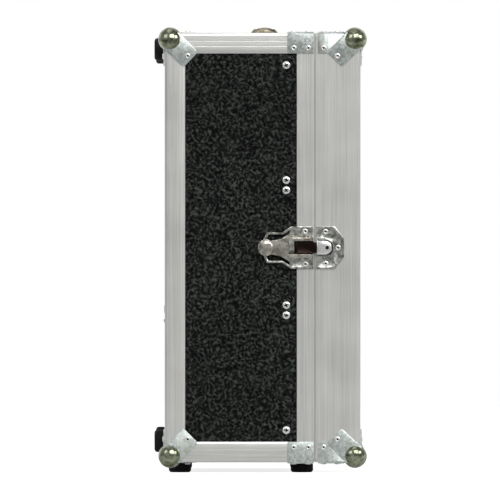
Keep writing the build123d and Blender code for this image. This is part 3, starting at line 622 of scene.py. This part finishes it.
def pressing(outline, low, high, edge, rim_width=0, rim_height=0):
    """A sheet pressing, with a raised rim if it has one, and its edges softened."""
    mesh = outline_solid(outline, low, high)
    if rim_height:
        top = max(mesh.faces, key=lambda face: face.calc_center_median().z)
        ring = bmesh.ops.inset_region(mesh, faces=[top], thickness=rim_width)["faces"]
        lifted = bmesh.ops.extrude_face_region(mesh, geom=ring)
        tops = [item for item in lifted["geom"] if isinstance(item, bmesh.types.BMVert)]
        bmesh.ops.translate(mesh, vec=(0, 0, rim_height), verts=tops)
        bmesh.ops.delete(mesh, geom=ring, context="FACES")
    soften(mesh, edge)
    return mesh


def softened(name, width, segments=2):
    """A copy of a part with its edges rounded, in the frame's own metres."""
    mesh = merged(name)
    whole_faces(mesh)
    soften(mesh, width * MM, segments)
    return mesh


def joined(meshes):
    """Several meshes in one."""
    whole = bmesh.new()
    for mesh in meshes:
        data = bpy.data.meshes.new("passing")
        mesh.to_mesh(data)
        mesh.free()
        whole.from_mesh(data)
        bpy.data.meshes.remove(data)
    return whole


def copies(mesh, matrices):
    """One mesh at several places, in one."""
    made = []
    for matrix in matrices:
        copy = mesh.copy()
        bmesh.ops.transform(copy, matrix=matrix, verts=copy.verts)
        made.append(copy)
    mesh.free()
    return joined(made)


def settle(piece, body, slot, *replaced):
    """Gives a piece its body and hides the parts that it stands for. The slot is not used."""
    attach(piece, body)
    if replaced:
        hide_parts(*replaced)
    print(piece.name, "has", len(piece.data.polygons), "faces and rides on", body)


# %% [markdown]
# ## What repeats
#
# The case has fifty-eight rivets, twelve rail screws and eight feet. Each kind is modelled once,
# as a stamp. A Geometry Nodes tree sets a copy of the stamp on every seat, turns it to face
# outwards and gives it a turn of its own, so that no two look alike. Realize Instances makes real
# meshes of the copies.


# %% The scatter tree
def scatter_tree():
    tree = bpy.data.node_groups.new("set_on_seats", "GeometryNodeTree")
    kinds = {
        "Seats": "Geometry",
        "Stamp": "Object",
        "Turn": "Float",
        "Seed": "Int",
        "Material": "Material",
    }

    def new_socket(name, in_out, kind):
        return tree.interface.new_socket(name=name, in_out=in_out, socket_type="NodeSocket" + kind)

    sockets = {name: new_socket(name, "INPUT", kind) for name, kind in kinds.items()}
    new_socket("Geometry", "OUTPUT", "Geometry")

    def add(kind, inputs=None, settings=None):
        return add_node(tree, kind, settings, inputs).outputs

    given = add("NodeGroupInput")
    stamp = add("GeometryNodeObjectInfo", {"Object": given["Stamp"]})["Geometry"]
    vectors = {"data_type": "FLOAT_VECTOR"}
    named = add("GeometryNodeInputNamedAttribute", {"Name": "outwards"}, vectors)
    facing = add("FunctionNodeAlignRotationToVector", {"Vector": named["Attribute"]}, {"axis": "Z"})
    limits = {3: given["Turn"], "Seed": given["Seed"]}
    turn = add("FunctionNodeRandomValue", limits, {"data_type": "FLOAT"})
    spin = add("FunctionNodeAxisAngleToRotation", {"Axis": (0, 0, 1), "Angle": turn[1]})
    turns = {"Rotation": facing[0], "Rotate By": spin[0]}
    turned_on = add("FunctionNodeRotateRotation", turns, {"rotation_space": "LOCAL"})
    seated = {"Points": given["Seats"], "Instance": stamp, "Rotation": turned_on[0]}
    placed = add("GeometryNodeInstanceOnPoints", seated)
    real = add("GeometryNodeRealizeInstances", {"Geometry": placed[0]})
    painted = add("GeometryNodeSetMaterial", {"Geometry": real[0], "Material": given["Material"]})
    add("NodeGroupOutput", {0: painted[0]})
    return tree, sockets


SCATTER, SCATTER_SOCKETS = scatter_tree()


def scatter(name, stamp, places, material, turn=2 * math.pi, seed=1):
    """Copies of a stamp on a list of seats, as one plain mesh."""
    data = bpy.data.meshes.new(name)
    data.from_pydata([seat for seat, outwards in places], [], [])
    field = data.attributes.new("outwards", "FLOAT_VECTOR", "POINT")
    for i, (seat, outwards) in enumerate(places):
        field.data[i].vector = outwards
    carrier = new_object(name, data)
    modifier = carrier.modifiers.new("scatter", "NODES")
    modifier.node_group = SCATTER
    values = {"Stamp": stamp, "Turn": turn, "Seed": seed, "Material": material}
    for socket, value in values.items():
        modifier[SCATTER_SOCKETS[socket].identifier] = value
    applied(carrier)
    carrier.data.name = name
    smooth(carrier.data)
    bpy.data.objects.remove(stamp)
    return carrier


def mark_recess_shade(stamp, is_shaded):
    """Marks the faces of a stamp that lie in a hole or recess, where the finish paints shade."""
    field = stamp.data.attributes.new("painted_recess_shade", "FLOAT", "FACE")
    for polygon in stamp.data.polygons:
        field.data[polygon.index].value = 1.0 if is_shaded(polygon.center) else 0.0


# %% [markdown]
# ## Rivets
#
# The plates are held by tubular rivets. The head is a low rounded ring round an open bore, and
# the bore is painted dark as its shade, so it shows as a dark dot. The profile is turned in one
# go, with the bore's wall and floor.

# %% Rivets
RIVET_HEIGHT = 1.1
RIVET_BORE = 1.05
RIVET_PROFILE = [
    (0, -0.1), (3.1, -0.1), (3.1, 0.2), (2.98, 0.58), (2.62, 0.9), (2.1, 1.08), (1.6, 1.1),
    (1.2, 0.98), (1.02, 0.7), (1.0, 0.1), (0, 0.1),
]


def rivet_stamp():
    stamp = to_object(turned(RIVET_PROFILE, 24), "rivet", scale=MM)
    # The bore's faces get painted shade.
    mark_recess_shade(stamp, lambda place: place.xy.length < RIVET_BORE * MM)
    return stamp


for node, body, seed in (("base_rivets", "case", 3), ("lid_rivets", "lid", 4)):
    places = seats(node, RIVET_HEIGHT * MM)
    heads = scatter(node + "_turned", rivet_stamp(), places, BRIGHT_ZINC, seed=seed)
    settle(heads, body, "rivet", node)

# %% [markdown]
# ## Screws
#
# The rails are held by pan-head screws with a cross recess, and the feet by smaller ones. The
# head is turned, and a Boolean modifier takes the cross out of it. The recess is marked so that
# the finish paints shade into it.

# %% Screws
RECESS_TAPER = 0.55
ARM_SHARE = 0.3
CLEAR_ABOVE = 0.5


def cross_cutter(size, depth, top):
    """A cross that narrows with its depth, to be taken out of a screw's head."""
    arms = []
    for length, width in ((size, size * ARM_SHARE), (size * ARM_SHARE, size)):
        arm = bmesh.new()
        bmesh.ops.create_cube(arm, size=1)
        for corner in arm.verts:
            narrow = RECESS_TAPER if corner.co.z < 0 else 1.0
            corner.co.x *= length * narrow
            corner.co.y *= width * narrow
            corner.co.z = top + CLEAR_ABOVE if corner.co.z > 0 else top - depth
        arms.append(to_object(arm, "arm", scale=MM))
    return arms


def cut(body, cutters):
    """Takes the shape of each cutter out of a body, and then the cutters away."""
    for cutter in cutters:
        modifier = body.modifiers.new("cut", "BOOLEAN")
        modifier.operation = "DIFFERENCE"
        modifier.solver = "EXACT"
        modifier.object = cutter
    applied(body)
    for cutter in cutters:
        bpy.data.objects.remove(cutter)
    return body


def screw_stamp(head, height, shank, length):
    """A pan-head screw, its seat at the origin."""
    chamfer = 1.0
    rim = 0.12
    steps = 6
    profile = [(0, -length), (shank * 0.8, -length), (shank, -length + chamfer), (shank, 0)]
    profile += [(head, 0), (head, height * rim)]
    for step in range(1, steps):
        angle = step / steps * math.pi / 2
        dome = height * (rim + (1 - rim) * math.sin(angle))
        profile.append((head * math.cos(angle) ** 0.7, dome))
    profile.append((0, height))
    stamp = to_object(turned(profile, 28), "screw", scale=MM)
    recess = head * 1.15
    cut(stamp, cross_cutter(recess, height * 0.62, height))

    def gets_recess_shade(place):
        """Whether a face lies in the head but well under its dome, where shade is painted."""
        above = place.z / MM - height * 0.3
        crown = height * (1 - 0.35 * (place.xy.length / (head * MM)) ** 2) - 0.22
        return above > 0 and place.xy.length < recess / 2 * MM and place.z < crown * MM

    # The recess's faces get painted shade.
    mark_recess_shade(stamp, gets_recess_shade)
    return stamp


SCREWS = {
    "rail_screws": {"head": 4.5, "height": 2.4, "shank": 2.0, "length": 24.8},
    "foot_screws": {"head": 3.6, "height": 2.0, "shank": 2.0, "length": 6.4},
}
for seed, (node, sizes) in enumerate(SCREWS.items(), start=7):
    places = seats(node, sizes["height"] * MM, along_longest=True)
    screws = scatter(node + "_domed", screw_stamp(**sizes), places, BRIGHT_ZINC, seed=seed)
    settle(screws, "case", "screw", node)

# %% [markdown]
# ## Feet
#
# The feet are rubber pucks with a rounded rim, a groove near the case and a well for the screw.

# %% Feet
FOOT_HEIGHT = 11.0
FOOT_PROFILE = [
    (2.2, 0), (12.0, 0), (12.0, 1.6), (11.6, 1.9), (11.6, 2.3), (12.0, 2.6), (12.0, 7.8),
    (11.8, 8.9), (11.2, 9.9), (10.4, 10.6), (9.5, 10.95), (8.8, 11.0), (5.2, 11.0), (4.5, 10.8),
    (4.2, 10.2), (4.2, 6.5), (2.2, 6.5),
]
for node in ("bottom_feet", "back_feet"):
    foot = to_object(turned(FOOT_PROFILE, 40, looped=True), "foot", scale=MM)
    feet = scatter(node + "_turned", foot, seats(node, FOOT_HEIGHT * MM), RUBBER, seed=9)
    settle(feet, "case", "foot_rubber", node)

# %% [markdown]
# ## Ball corners
#
# Each corner is a steel pressing with a ball at its point and a tab on each of its three faces.
# The ball is a sphere with the case's own corner taken out of it. A tab is a strip along the
# face's diagonal with rounded ends. One corner is made with the case on the plus side of each
# axis, and is then turned into the eight places.

# %% Ball corners
SHEET = 1.3
BALL_RADIUS = 12.8
BALL_INSET = 6.0
TAB_HALF = 11.0
TAB_REACH = 39.5


def corner_tab():
    """One tab, lying on the plane at Z = 0 with its outside towards -Z."""
    near = TAB_HALF * math.sqrt(2)
    low = (TAB_REACH - TAB_HALF) / math.sqrt(2)
    high = (TAB_REACH + TAB_HALF) / math.sqrt(2)
    outline = [(-SHEET, -SHEET), (near, -SHEET), (high, low), (low, high), (-SHEET, near)]
    return pressing(rounded(outline, 3.2), -SHEET, 0, edge=0.4)


def ball():
    sphere = bmesh.new()
    bmesh.ops.create_uvsphere(sphere, u_segments=64, v_segments=40, radius=BALL_RADIUS)
    bmesh.ops.translate(sphere, vec=(BALL_INSET,) * 3, verts=sphere.verts)
    side = 60
    case_corner = bmesh.new()
    bmesh.ops.create_cube(case_corner, size=side)
    bmesh.ops.translate(case_corner, vec=(side / 2,) * 3, verts=case_corner.verts)
    return worked_again(cut(to_object(sphere, "ball"), [to_object(case_corner, "case_corner")]))


def corner_tabs():
    """The three tabs of one corner, the same tab turned from axis to axis."""
    cycle = Matrix(((0, 0, 1, 0), (1, 0, 0, 0), (0, 1, 0, 0), (0, 0, 0, 1)))
    return copies(corner_tab(), [Matrix.Identity(4), cycle, cycle @ cycle])


def corner_matrices(x, depthwise):
    """The four corners of the case at depth x, all three axes pointing into the case."""
    low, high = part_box("edge_back_left")
    found = []
    for side in (-1, 1):
        for z, up in ((low.z, 1), (high.z, -1)):
            axes = [Vector((depthwise, 0, 0)), Vector((0, -side, 0)), Vector((0, 0, up))]
            if axes[0].cross(axes[1]).dot(axes[2]) < 0:
                axes[1], axes[2] = axes[2], axes[1]
            turn = Matrix(axes).transposed().to_4x4()
            found.append(Matrix.Translation((x, side * half_width, z)) @ turn @ Matrix.Scale(MM, 4))
    return found


back_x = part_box("edge_back_left")[0].x
front_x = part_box("lid_rim_left")[1].x
for node, x, depthwise, body in (
    ("base_ball_corners", back_x, 1, "case"),
    ("lid_ball_corners", front_x, -1, "lid"),
):
    places = corner_matrices(x, depthwise)
    tabs = to_object(copies(corner_tabs(), places), node + "_tabs", ZINC)
    settle(tabs, body, "corner_steel", node)
    balls = to_object(copies(ball(), places), node + "_balls", BALL_STEEL)
    settle(balls, body, "corner_steel")

# %% [markdown]
# ## Corner braces, inlet and other pressings
#
# These parts have the right shape already. A copy with rounded edges takes their place, because
# the thin bright line along each edge is what tells pressed steel and moulded plastic from card.

# %% Softened copies
COPIED = {
    "base_corner_braces": ("case", "corner_steel", ZINC, 0.3),
    "lid_corner_braces": ("lid", "corner_steel", ZINC, 0.3),
    "latch_pivots": ("case", "latch_chrome", NICKEL, 0.15),
    # The keepers take the darker copy of the nickel, with its painted shade.
    "latch_keepers": ("lid", "latch_chrome", SHADED_PLATE_NICKEL, 0.3),
    "mains_inlet": ("case", "inlet_plastic", BLACK_PLASTIC, 0.4),
    "power_supply": ("case", "supply_cover", SUPPLY_PAINT, 0.5),
    "bus_headers": ("case", "header", HEADER_PLASTIC, 0.2),
    "handle_caps": ("case", "handle_chrome", OLD_CHROME, 0.7),
    "fuse_drawer": ("fuse_drawer", "inlet_plastic", BLACK_PLASTIC, 0.4),
    "power_switch": ("power_switch", "switch_plastic", BLACK_PLASTIC, 0.5),
}
for node, (body, slot, material, width) in COPIED.items():
    settle(to_object(softened(node, width), node + "_softened", material), body, slot, node)

# %% [markdown]
# ## Shallow flutes
#
# The frame's profiles have V-shaped flutes half a millimetre deep, and the photograph shows them
# only as faint lines. Copies of the profiles have the floor of each flute lifted to a tenth of a
# millimetre under the surface. Which corners are on a flute's floor follows from their depth under
# the outer faces. Smooth shading would bend the light on a broad flat face towards its rounded
# edges, so weighted normals hold it flat.

# %% Profiles with shallow flutes
FLUTE_DEPTH = 0.5
SHALLOW_DEPTH = 0.1
DEPTH_SLACK = 0.04


def profile_finish(name):
    """Aluminium with its grain along the profile. The top ones get a brighter copy: painted light
    from above.
    """
    if name.startswith("edge_top_"):
        return ALUMINIUM_TOP_LIT
    if name.startswith("edge_bottom_"):
        return ALUMINIUM_X
    return ALUMINIUM_Z if name.endswith(("_left", "_right")) else ALUMINIUM_Y


def lift_flutes(mesh):
    low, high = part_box("edge_back_left")
    faces = [(1, half_width), (1, -half_width), (2, low.z), (2, high.z), (0, back_x)]
    lifted = 0
    for axis, level in faces:
        for corner in mesh.verts:
            depth = abs(corner.co[axis] - level) / MM
            if abs(depth - FLUTE_DEPTH) < DEPTH_SLACK:
                way = math.copysign(1, level - corner.co[axis])
                corner.co[axis] += way * (FLUTE_DEPTH - SHALLOW_DEPTH) * MM
                lifted += 1
    return lifted


PROFILES = [name for name in nodes if name.startswith(("edge_", "base_rim_", "lid_rim_"))]
for name in PROFILES:
    bar = merged(name)
    whole_faces(bar)
    print("corners lifted:", lift_flutes(bar))
    soften(bar, 0.25 * MM, 2, angle=40)
    piece = evened(to_object(bar, name + "_drawn", profile_finish(name)))
    slot = "profile" if name.startswith("edge_") else "rim"
    settle(piece, "lid" if name.startswith("lid_") else "case", slot, name)

# %% [markdown]
# ## The draw latches
#
# A latch has its own directions: U runs from the seam towards the lid, V along the case's height
# and N straight out of the end. Each piece is made in those, in millimetres, and then set on the
# left end and the right end.

# %% Latch places
LATCH_PLACES = {}
for end_name, side in (("left", -1), ("right", 1)):
    across = Matrix(((1, 0, 0, 0), (0, 0, side, 0), (0, -side, 0, 0), (0, 0, 0, 1)))
    at_seam = Matrix.Translation((seam_x, side * half_width, case_middle.z))
    LATCH_PLACES[end_name] = at_seam @ across


def at_end(stamp, end_name, name):
    """A copy of a latch piece at one end of the case."""
    data = stamp.data.copy()
    data.transform(LATCH_PLACES[end_name])
    return new_object(name, data)


# %% [markdown]
# ### The base plate
#
# The plate is a shaped pressing with a bright raised rim. On its thumb side two openings leave
# only the rim, and the black panel shows through them. The frame's plates are opened with one
# prism for each opening, which is drawn for the upper half and mirrored for the lower, and then
# softened like the other pressings.

# %% Base plate
OPENING = [
    (-50.6, 4), (-51.2, 9.2), (-49.3, 14.1), (-34, 14.1),
    (-25.2, 19.6), (-27.6, 14.4), (-35, 9.8), (-41, 4),
]
OPENING_CORNER = 0.8
PRISM_LOW, PRISM_HIGH = -3, 4


def opened_plates():
    openings = []
    for place in LATCH_PLACES.values():
        for side in (1, -1):
            outline = rounded([(u, side * v) for u, v in OPENING], OPENING_CORNER)
            prism = outline_solid(outline, PRISM_LOW, PRISM_HIGH)
            bmesh.ops.transform(prism, matrix=place @ Matrix.Scale(MM, 4), verts=prism.verts)
            bmesh.ops.recalc_face_normals(prism, faces=prism.faces)
            openings.append(to_object(prism, "opening"))
    mesh = worked_again(cut(to_object(merged("latch_plates"), "plates"), openings))
    join_loose(mesh)
    whole_faces(mesh)
    soften(mesh, 0.3 * MM)
    # The plates take the darker copy of the nickel, with its painted shade.
    return to_object(mesh, "latch_plates_opened", SHADED_PLATE_NICKEL)


settle(opened_plates(), "case", "latch_chrome", "latch_plates")

# %% [markdown]
# ### The lever
#
# The lever keeps the frame's shape with its edges rounded. Its thumb end is a polished bulb, made
# as a flattened ball that sinks into the tab.

# %% Lever
BULB_SIZE = (8.2, 8.7, 2.8)
BULB_MIDDLE = (-52.3, 0, 7.5)


def thumb_bulb():
    bulb = bmesh.new()
    bmesh.ops.create_uvsphere(bulb, u_segments=40, v_segments=24, radius=1)
    bmesh.ops.scale(bulb, vec=BULB_SIZE, verts=bulb.verts)
    bmesh.ops.translate(bulb, vec=BULB_MIDDLE, verts=bulb.verts)
    return to_object(bulb, "thumb_bulb", LEVER_NICKEL, MM)


bulb = thumb_bulb()
for end_name in LATCH_PLACES:
    node = end_name + "_lever"
    body = end_name + "_latch_lever"
    lever = to_object(softened(node, 0.35, 3), node + "_pressed", LEVER_NICKEL)
    settle(lever, body, "latch_chrome", node)
    settle(at_end(bulb, end_name, node + "_thumb"), body, "latch_chrome")
bpy.data.objects.remove(bulb)

# %% [markdown]
# ### The claw
#
# Seen through the lever's window, the claw is a dark tray with a bright rim. Past the window it
# ends in a domed nose with a dimple. The tray, the neck behind it and the dimple are painted dark
# as their shade. The dome is built up in rings: each ring is the nose's outline drawn further in
# and set a little higher, along a quarter of an ellipse.

# %% Claw
CLAW_UNDER = 5.05
CLAW_HALF = 6.6
TRAY_LEFT, TRAY_RIGHT, TRAY_FLOOR = -21.6, -0.6, 5.8
NECK_LEFT, NECK_RIGHT, NECK_HALF, NECK_TOP = -1.5, 4, 5.4, 5.75
EYE_U, EYE_N, EYE_RADIUS = -19.5, 4.0, 2.3
HOOK = [(6.95, 5.1), (9.8, 2.2), (11.4, 2.2), (12.6, 5.1)]
HOOK_HALF = 6.4
NOSE_START, NOSE_ROUND, NOSE_HALF = 2.4, 11.0, 7.4
NOSE_EDGE, NOSE_SHOULDER, NOSE_DOME, NOSE_SLOPE = 0.3, 0.9, 1.5, 5.2
DIMPLE_U, DIMPLE_RADIUS, DIMPLE_RISE = 13.4, 2.3, 1.1


def nose_ring(inset, height):
    steps = 20
    half = NOSE_HALF - inset
    points = [(NOSE_START + inset * 0.6, -half)]
    for step in range(steps + 1):
        angle = math.pi * (step / steps - 0.5)
        points.append((NOSE_ROUND + half * math.cos(angle), half * math.sin(angle)))
    points.append((NOSE_START + inset * 0.6, half))
    return [(u, v, height) for u, v in points]


def claw_nose():
    shoulder = CLAW_UNDER + NOSE_SHOULDER
    rings = [nose_ring(NOSE_EDGE, CLAW_UNDER), nose_ring(0, CLAW_UNDER + 0.25)]
    rings.append(nose_ring(0, shoulder))
    steps = 8
    for step in range(1, steps + 1):
        angle = step / steps * math.pi / 2
        inset = NOSE_SLOPE * (1 - math.cos(angle))
        rings.append(nose_ring(inset, shoulder + NOSE_DOME * math.sin(angle)))
    nose = to_object(skin(rings, capped=True), "nose")
    dimple = bmesh.new()
    bmesh.ops.create_uvsphere(dimple, u_segments=24, v_segments=16, radius=DIMPLE_RADIUS)
    middle = (DIMPLE_U, 0, shoulder + NOSE_DOME + DIMPLE_RISE)
    bmesh.ops.translate(dimple, vec=middle, verts=dimple.verts)
    return worked_again(cut(nose, [to_object(dimple, "dimple")]))


def side_pressing(points, half):
    """An outline in U and N carried across from -half to half in V."""
    mesh = outline_solid(points, -half, half)
    soften(mesh, 0.2)
    upright = Matrix(((1, 0, 0, 0), (0, 0, 1, 0), (0, 1, 0, 0), (0, 0, 0, 1)))
    bmesh.ops.transform(mesh, matrix=upright, verts=mesh.verts)
    bmesh.ops.recalc_face_normals(mesh, faces=mesh.faces)
    return mesh


def claw():
    eye = []
    for i in range(20):
        angle = i * math.pi / 10
        eye.append((EYE_U + EYE_RADIUS * math.cos(angle), EYE_N + EYE_RADIUS * math.sin(angle)))
    tray = rounded(oblong(TRAY_LEFT, TRAY_RIGHT, CLAW_HALF), 1.2)
    neck = oblong(NECK_LEFT, NECK_RIGHT, NECK_HALF)
    parts = [
        claw_nose(),
        pressing(tray, CLAW_UNDER, TRAY_FLOOR, edge=0.2, rim_width=1.0, rim_height=0.9),
        pressing(neck, CLAW_UNDER, NECK_TOP, edge=0.1),
        side_pressing(eye, CLAW_HALF),
        side_pressing(HOOK, HOOK_HALF),
    ]
    made = to_object(joined(parts), "claw", BRIGHT_ZINC, MM)

    def gets_claw_shade(place):
        """Whether a face lies in the tray, in the neck behind it or in the dimple, where shade is
        painted.
        """
        u, v, n = place / MM
        in_tray = -22 < u < -0.5 and abs(v) < 6.7 and n < 7
        in_neck = -0.7 < u < 2.6 and n < 5.9
        in_dimple = math.dist((u, v), (DIMPLE_U, 0)) < 1.9 and n < 7.4
        return in_tray or in_neck or in_dimple

    # The tray, the neck and the dimple get painted shade.
    mark_recess_shade(made, gets_claw_shade)
    return made


claw_stamp = claw()
for end_name in LATCH_PLACES:
    piece = at_end(claw_stamp, end_name, end_name + "_claw_pressed")
    settle(piece, end_name + "_latch_claw", "latch_chrome", end_name + "_claw")
bpy.data.objects.remove(claw_stamp)

# %% [markdown]
# ## The handle
#
# The grip is moulded rubber with ribs across it, and it carries the middle of a flat strap. The
# strap is modelled flat with rounded sides.

# %% Handle
RIB_PITCH = 4 * MM
RIB_DEPTH = 0.55 * MM
PLAIN_END = 7 * MM
END_ROUNDING = 1.2 * MM
END_SLOPE = 0.8
GRIP_ROUNDING = 2.4 * MM
GRIP_STATIONS = 156
STRAP_ROUNDING = 1.1 * MM
STRAP_STATIONS = 36


def rounded_ring(low, high, y, inset, radius):
    """A rounded rectangle in X and Z at one place along Y."""
    corners = [(low.x + inset, low.z + inset), (high.x - inset, low.z + inset)]
    corners += [(high.x - inset, high.z - inset), (low.x + inset, high.z - inset)]
    return [(point.x, y, point.y) for point in rounded(corners, radius, 5)]


def grip_inset(from_end):
    """How far the grip's skin lies in at a distance from its nearer end."""
    if from_end < PLAIN_END:
        return max(0.0, END_ROUNDING - from_end) * END_SLOPE
    wave = 0.5 - 0.5 * math.cos(2 * math.pi * (from_end - PLAIN_END) / RIB_PITCH)
    return wave * RIB_DEPTH


def stations(low, high, count):
    """Places from one end of a box to the other, along Y."""
    return [low.y + (high.y - low.y) * i / count for i in range(count + 1)]


def handle_grip():
    low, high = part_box("handle_grip")
    rings = []
    for y in stations(low, high, GRIP_STATIONS):
        inset = grip_inset(min(y - low.y, high.y - y))
        rings.append(rounded_ring(low, high, y, inset, GRIP_ROUNDING))
    return to_object(skin(rings, capped=True), "handle_grip_moulded", GRIP_RUBBER)


settle(handle_grip(), "grip", "grip", "handle_grip")


def handle_strap(end_name):
    low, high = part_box("handle_strap_" + end_name)
    places = stations(low, high, STRAP_STATIONS)
    rings = [rounded_ring(low, high, y, 0, STRAP_ROUNDING) for y in places]
    return to_object(skin(rings, capped=True), f"handle_strap_{end_name}_flat", WEBBING_VINYL)


cap_mouth = min(abs(edge.y) for box in island_boxes("handle_caps") for edge in box)
for end_name, side in (("left", -1), ("right", 1)):
    strap = handle_strap(end_name)
    low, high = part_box("handle_strap_" + end_name)
    middle = (low + high) / 2
    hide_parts("handle_strap_" + end_name)
    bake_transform(strap)

# %% [markdown]
# ## Threaded strips
#
# Each rail holds a steel strip with a tapped hole at every unit of width, eighty-four in a row.
# One tile with one hole is modelled, and the scatter tree lays it along every strip.

# %% Threaded strips
UNIT = 5.08
UNITS = 84
STRIP_WIDTH, STRIP_THICK = 6.0, 3.0
HOLE_RADIUS = 1.25


def strip_tile():
    """A tile of strip, its face at the origin, with a hole through it."""
    half_tile, half_unit = STRIP_WIDTH / 2, UNIT / 2
    tile, hole = [], []
    sides = 16
    for i in range(sides):
        angle = 2 * math.pi * (i + 0.5) / sides
        reach = Vector((math.cos(angle), math.sin(angle)))
        tile.append(reach / max(abs(reach.x) / half_tile, abs(reach.y) / half_unit))
        hole.append(reach * HOLE_RADIUS)
    loops = ((tile, 0), (hole, 0), (hole, -STRIP_THICK), (tile, -STRIP_THICK))
    rings = [[(*point, height) for point in loop] for loop, height in loops]
    stamp = to_object(skin(rings, looped=True), "strip_tile", scale=MM)
    # The hole's faces get painted shade.
    mark_recess_shade(stamp, lambda place: place.xy.length < HOLE_RADIUS * 1.04 * MM)
    return stamp


tile_seats = []
for low, high in island_boxes("threaded_strips"):
    middle = (low + high) / 2
    for i in range(UNITS):
        y = middle.y + (i - (UNITS - 1) / 2) * UNIT * MM
        tile_seats.append((Vector((high.x, y, middle.z)), Vector((1, 0, 0))))
strips = scatter("threaded_strips_drilled", strip_tile(), tile_seats, STRIP_STEEL, turn=0)
settle(strips, "case", "strip", "threaded_strips")

# %% [markdown]
# ## Header pins
#
# Each header on the bus boards is a shroud round two rows of eight square pins. One pin with a
# pointed tip is modelled and set in its place in all sixteen headers.

# %% Header pins
PIN_PITCH = 2.54
PIN_ROWS = 8
PIN_HALF = 0.32
PIN_TIP_HALF = PIN_HALF * 0.45
PIN_SHOULDER, PIN_TIP = 6.2, 6.6
SHROUD_FLOOR = 1.6


def header_pin():
    rings = []
    for height, half in ((0, PIN_HALF), (PIN_SHOULDER, PIN_HALF), (PIN_TIP, PIN_TIP_HALF)):
        rings.append([(u, v, height) for u, v in oblong(-half, half, half)])
    return to_object(skin(rings, capped=True), "header_pin", scale=MM)


pin_seats = []
for low, high in island_boxes("bus_headers"):
    middle = (low + high) / 2
    for column in (-0.5, 0.5):
        for row in range(PIN_ROWS):
            upwards = row - (PIN_ROWS - 1) / 2
            offset = Vector((0, column * PIN_PITCH, upwards * PIN_PITCH)) * MM
            seat = Vector((low.x + SHROUD_FLOOR * MM, middle.y, middle.z)) + offset
            pin_seats.append((seat, Vector((1, 0, 0))))
pins = scatter("bus_header_pins", header_pin(), pin_seats, BRASS, turn=0)
settle(pins, "case", "header")

# %% [markdown]
# ## The floor and the light
#
# The floor is a plain grey. It glows white for the camera alone, and in metal and glass only
# behind the case, so the soft shadow stays and no more light falls on the object. The world does
# the same: white for the camera and in what metal mirrors from behind the case, and a dim grey
# for all other rays. Four softboxes in front and above light the end of the case. Between them
# chrome mirrors the grey, which gives it its dark parts.


# %% Floor
def seen_directly(finish):
    """1 for rays from the camera, and 1 for rays that it follows on through metal or glass."""
    camera_ray = finish.node("ShaderNodeLightPath", output="Is Camera Ray")
    glossy_ray = finish.node("ShaderNodeLightPath", output="Is Glossy Ray")
    through_ray = finish.node("ShaderNodeLightPath", output="Is Transmission Ray")
    return camera_ray, finish.between(glossy_ray + through_ray, 0, 1)


def floor_finish():
    floor = Finish("floor", Roughness=0.9)
    depth = floor.node("ShaderNodeSeparateXYZ", None, {"Vector": floor.place}, output="Y")
    tone = floor.between(depth, -1.05, -0.62) * 0.30 + floor.noise(3, 2) * 0.05 + 0.28
    floor.feed(Base_Color=tone)
    camera_ray, mirror_ray = seen_directly(floor)
    strength = (camera_ray + mirror_ray * floor.between(depth, -0.30, 0.30)) * 0.8
    glow = floor.node("ShaderNodeEmission", None, {"Color": (1, 1, 1, 1), "Strength": strength})
    plain = Signal(floor, floor.shader.outputs[0])
    both = floor.node("ShaderNodeAddShader", None, {0: plain, 1: glow})
    floor.tree.links.new(both.socket, floor.tree.nodes["Material Output"].inputs["Surface"])
    return floor.material


FLOOR_HALF = 8.0
floor_mesh = bpy.data.meshes.new("floor")
floor_corners = [(x, y, 0) for x, y in oblong(-FLOOR_HALF, FLOOR_HALF, FLOOR_HALF)]
floor_mesh.from_pydata(floor_corners, [], [(0, 1, 2, 3)])
floor_mesh.materials.append(floor_finish())
new_object("floor", floor_mesh)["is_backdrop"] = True


# %% World
class Room(Finish):
    """The world's own nodes, worked in the same way as a finish."""

    def __init__(self):
        self.world = bpy.data.worlds.new("room")
        self.world.use_nodes = True
        self.tree = self.world.node_tree
        self.shader = self.tree.nodes["Background"]


room = Room()
bpy.context.scene.world = room.world
direction = room.node("ShaderNodeTexCoord", output="Generated")
split_back = room.node("ShaderNodeSeparateXYZ", None, {"Vector": direction}, output="Y")
behind_case = room.between(split_back, -0.5, 0.35)
level = 0.43 - behind_case * 0.12
camera_ray, mirror_ray = seen_directly(room)
seen_white = camera_ray + mirror_ray * room.between(split_back, 0.2, 0.6)
strength = level * (1 - seen_white) + seen_white
room.feed(Strength=strength)
room.shader.inputs["Color"].default_value = (1, 1, 1, 1)


# %% Lamps
def softbox(name, place, target, size, power):
    light = bpy.data.lights.new(name, "AREA")
    light.shape = "RECTANGLE"
    light.size, light.size_y = size
    light.energy = power
    lamp = new_object(name, light)
    lamp.location = place
    lamp.rotation_euler = (Vector(target) - Vector(place)).to_track_quat("-Z", "Y").to_euler()


SOFTBOXES = {
    "key": ((0.7, -2.4, 2.0), (2.0, 1.6), 46),
    "fill": ((-2.0, -1.8, 1.9), (1.4, 1.4), 11),
    "window": ((1.9, -1.3, 1.4), (0.9, 0.8), 14),
    "top": ((-0.3, -0.2, 2.6), (2.0, 1.4), 5),
}
for name, (place, size, power) in SOFTBOXES.items():
    softbox(name, place, case_middle, size, power)
print("softboxes:", len(SOFTBOXES))

# %% [markdown]
# ## Measure and finish
#
# The dressed case is measured, and its box is set beside the frame's own. The dressed
# case has to stay inside the frame's own box.

# %% Finish
new_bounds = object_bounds()
sizes = {
    "cad": [list(corner) for corner in cad_bounds],
    "visual": [list(corner) for corner in new_bounds],
}
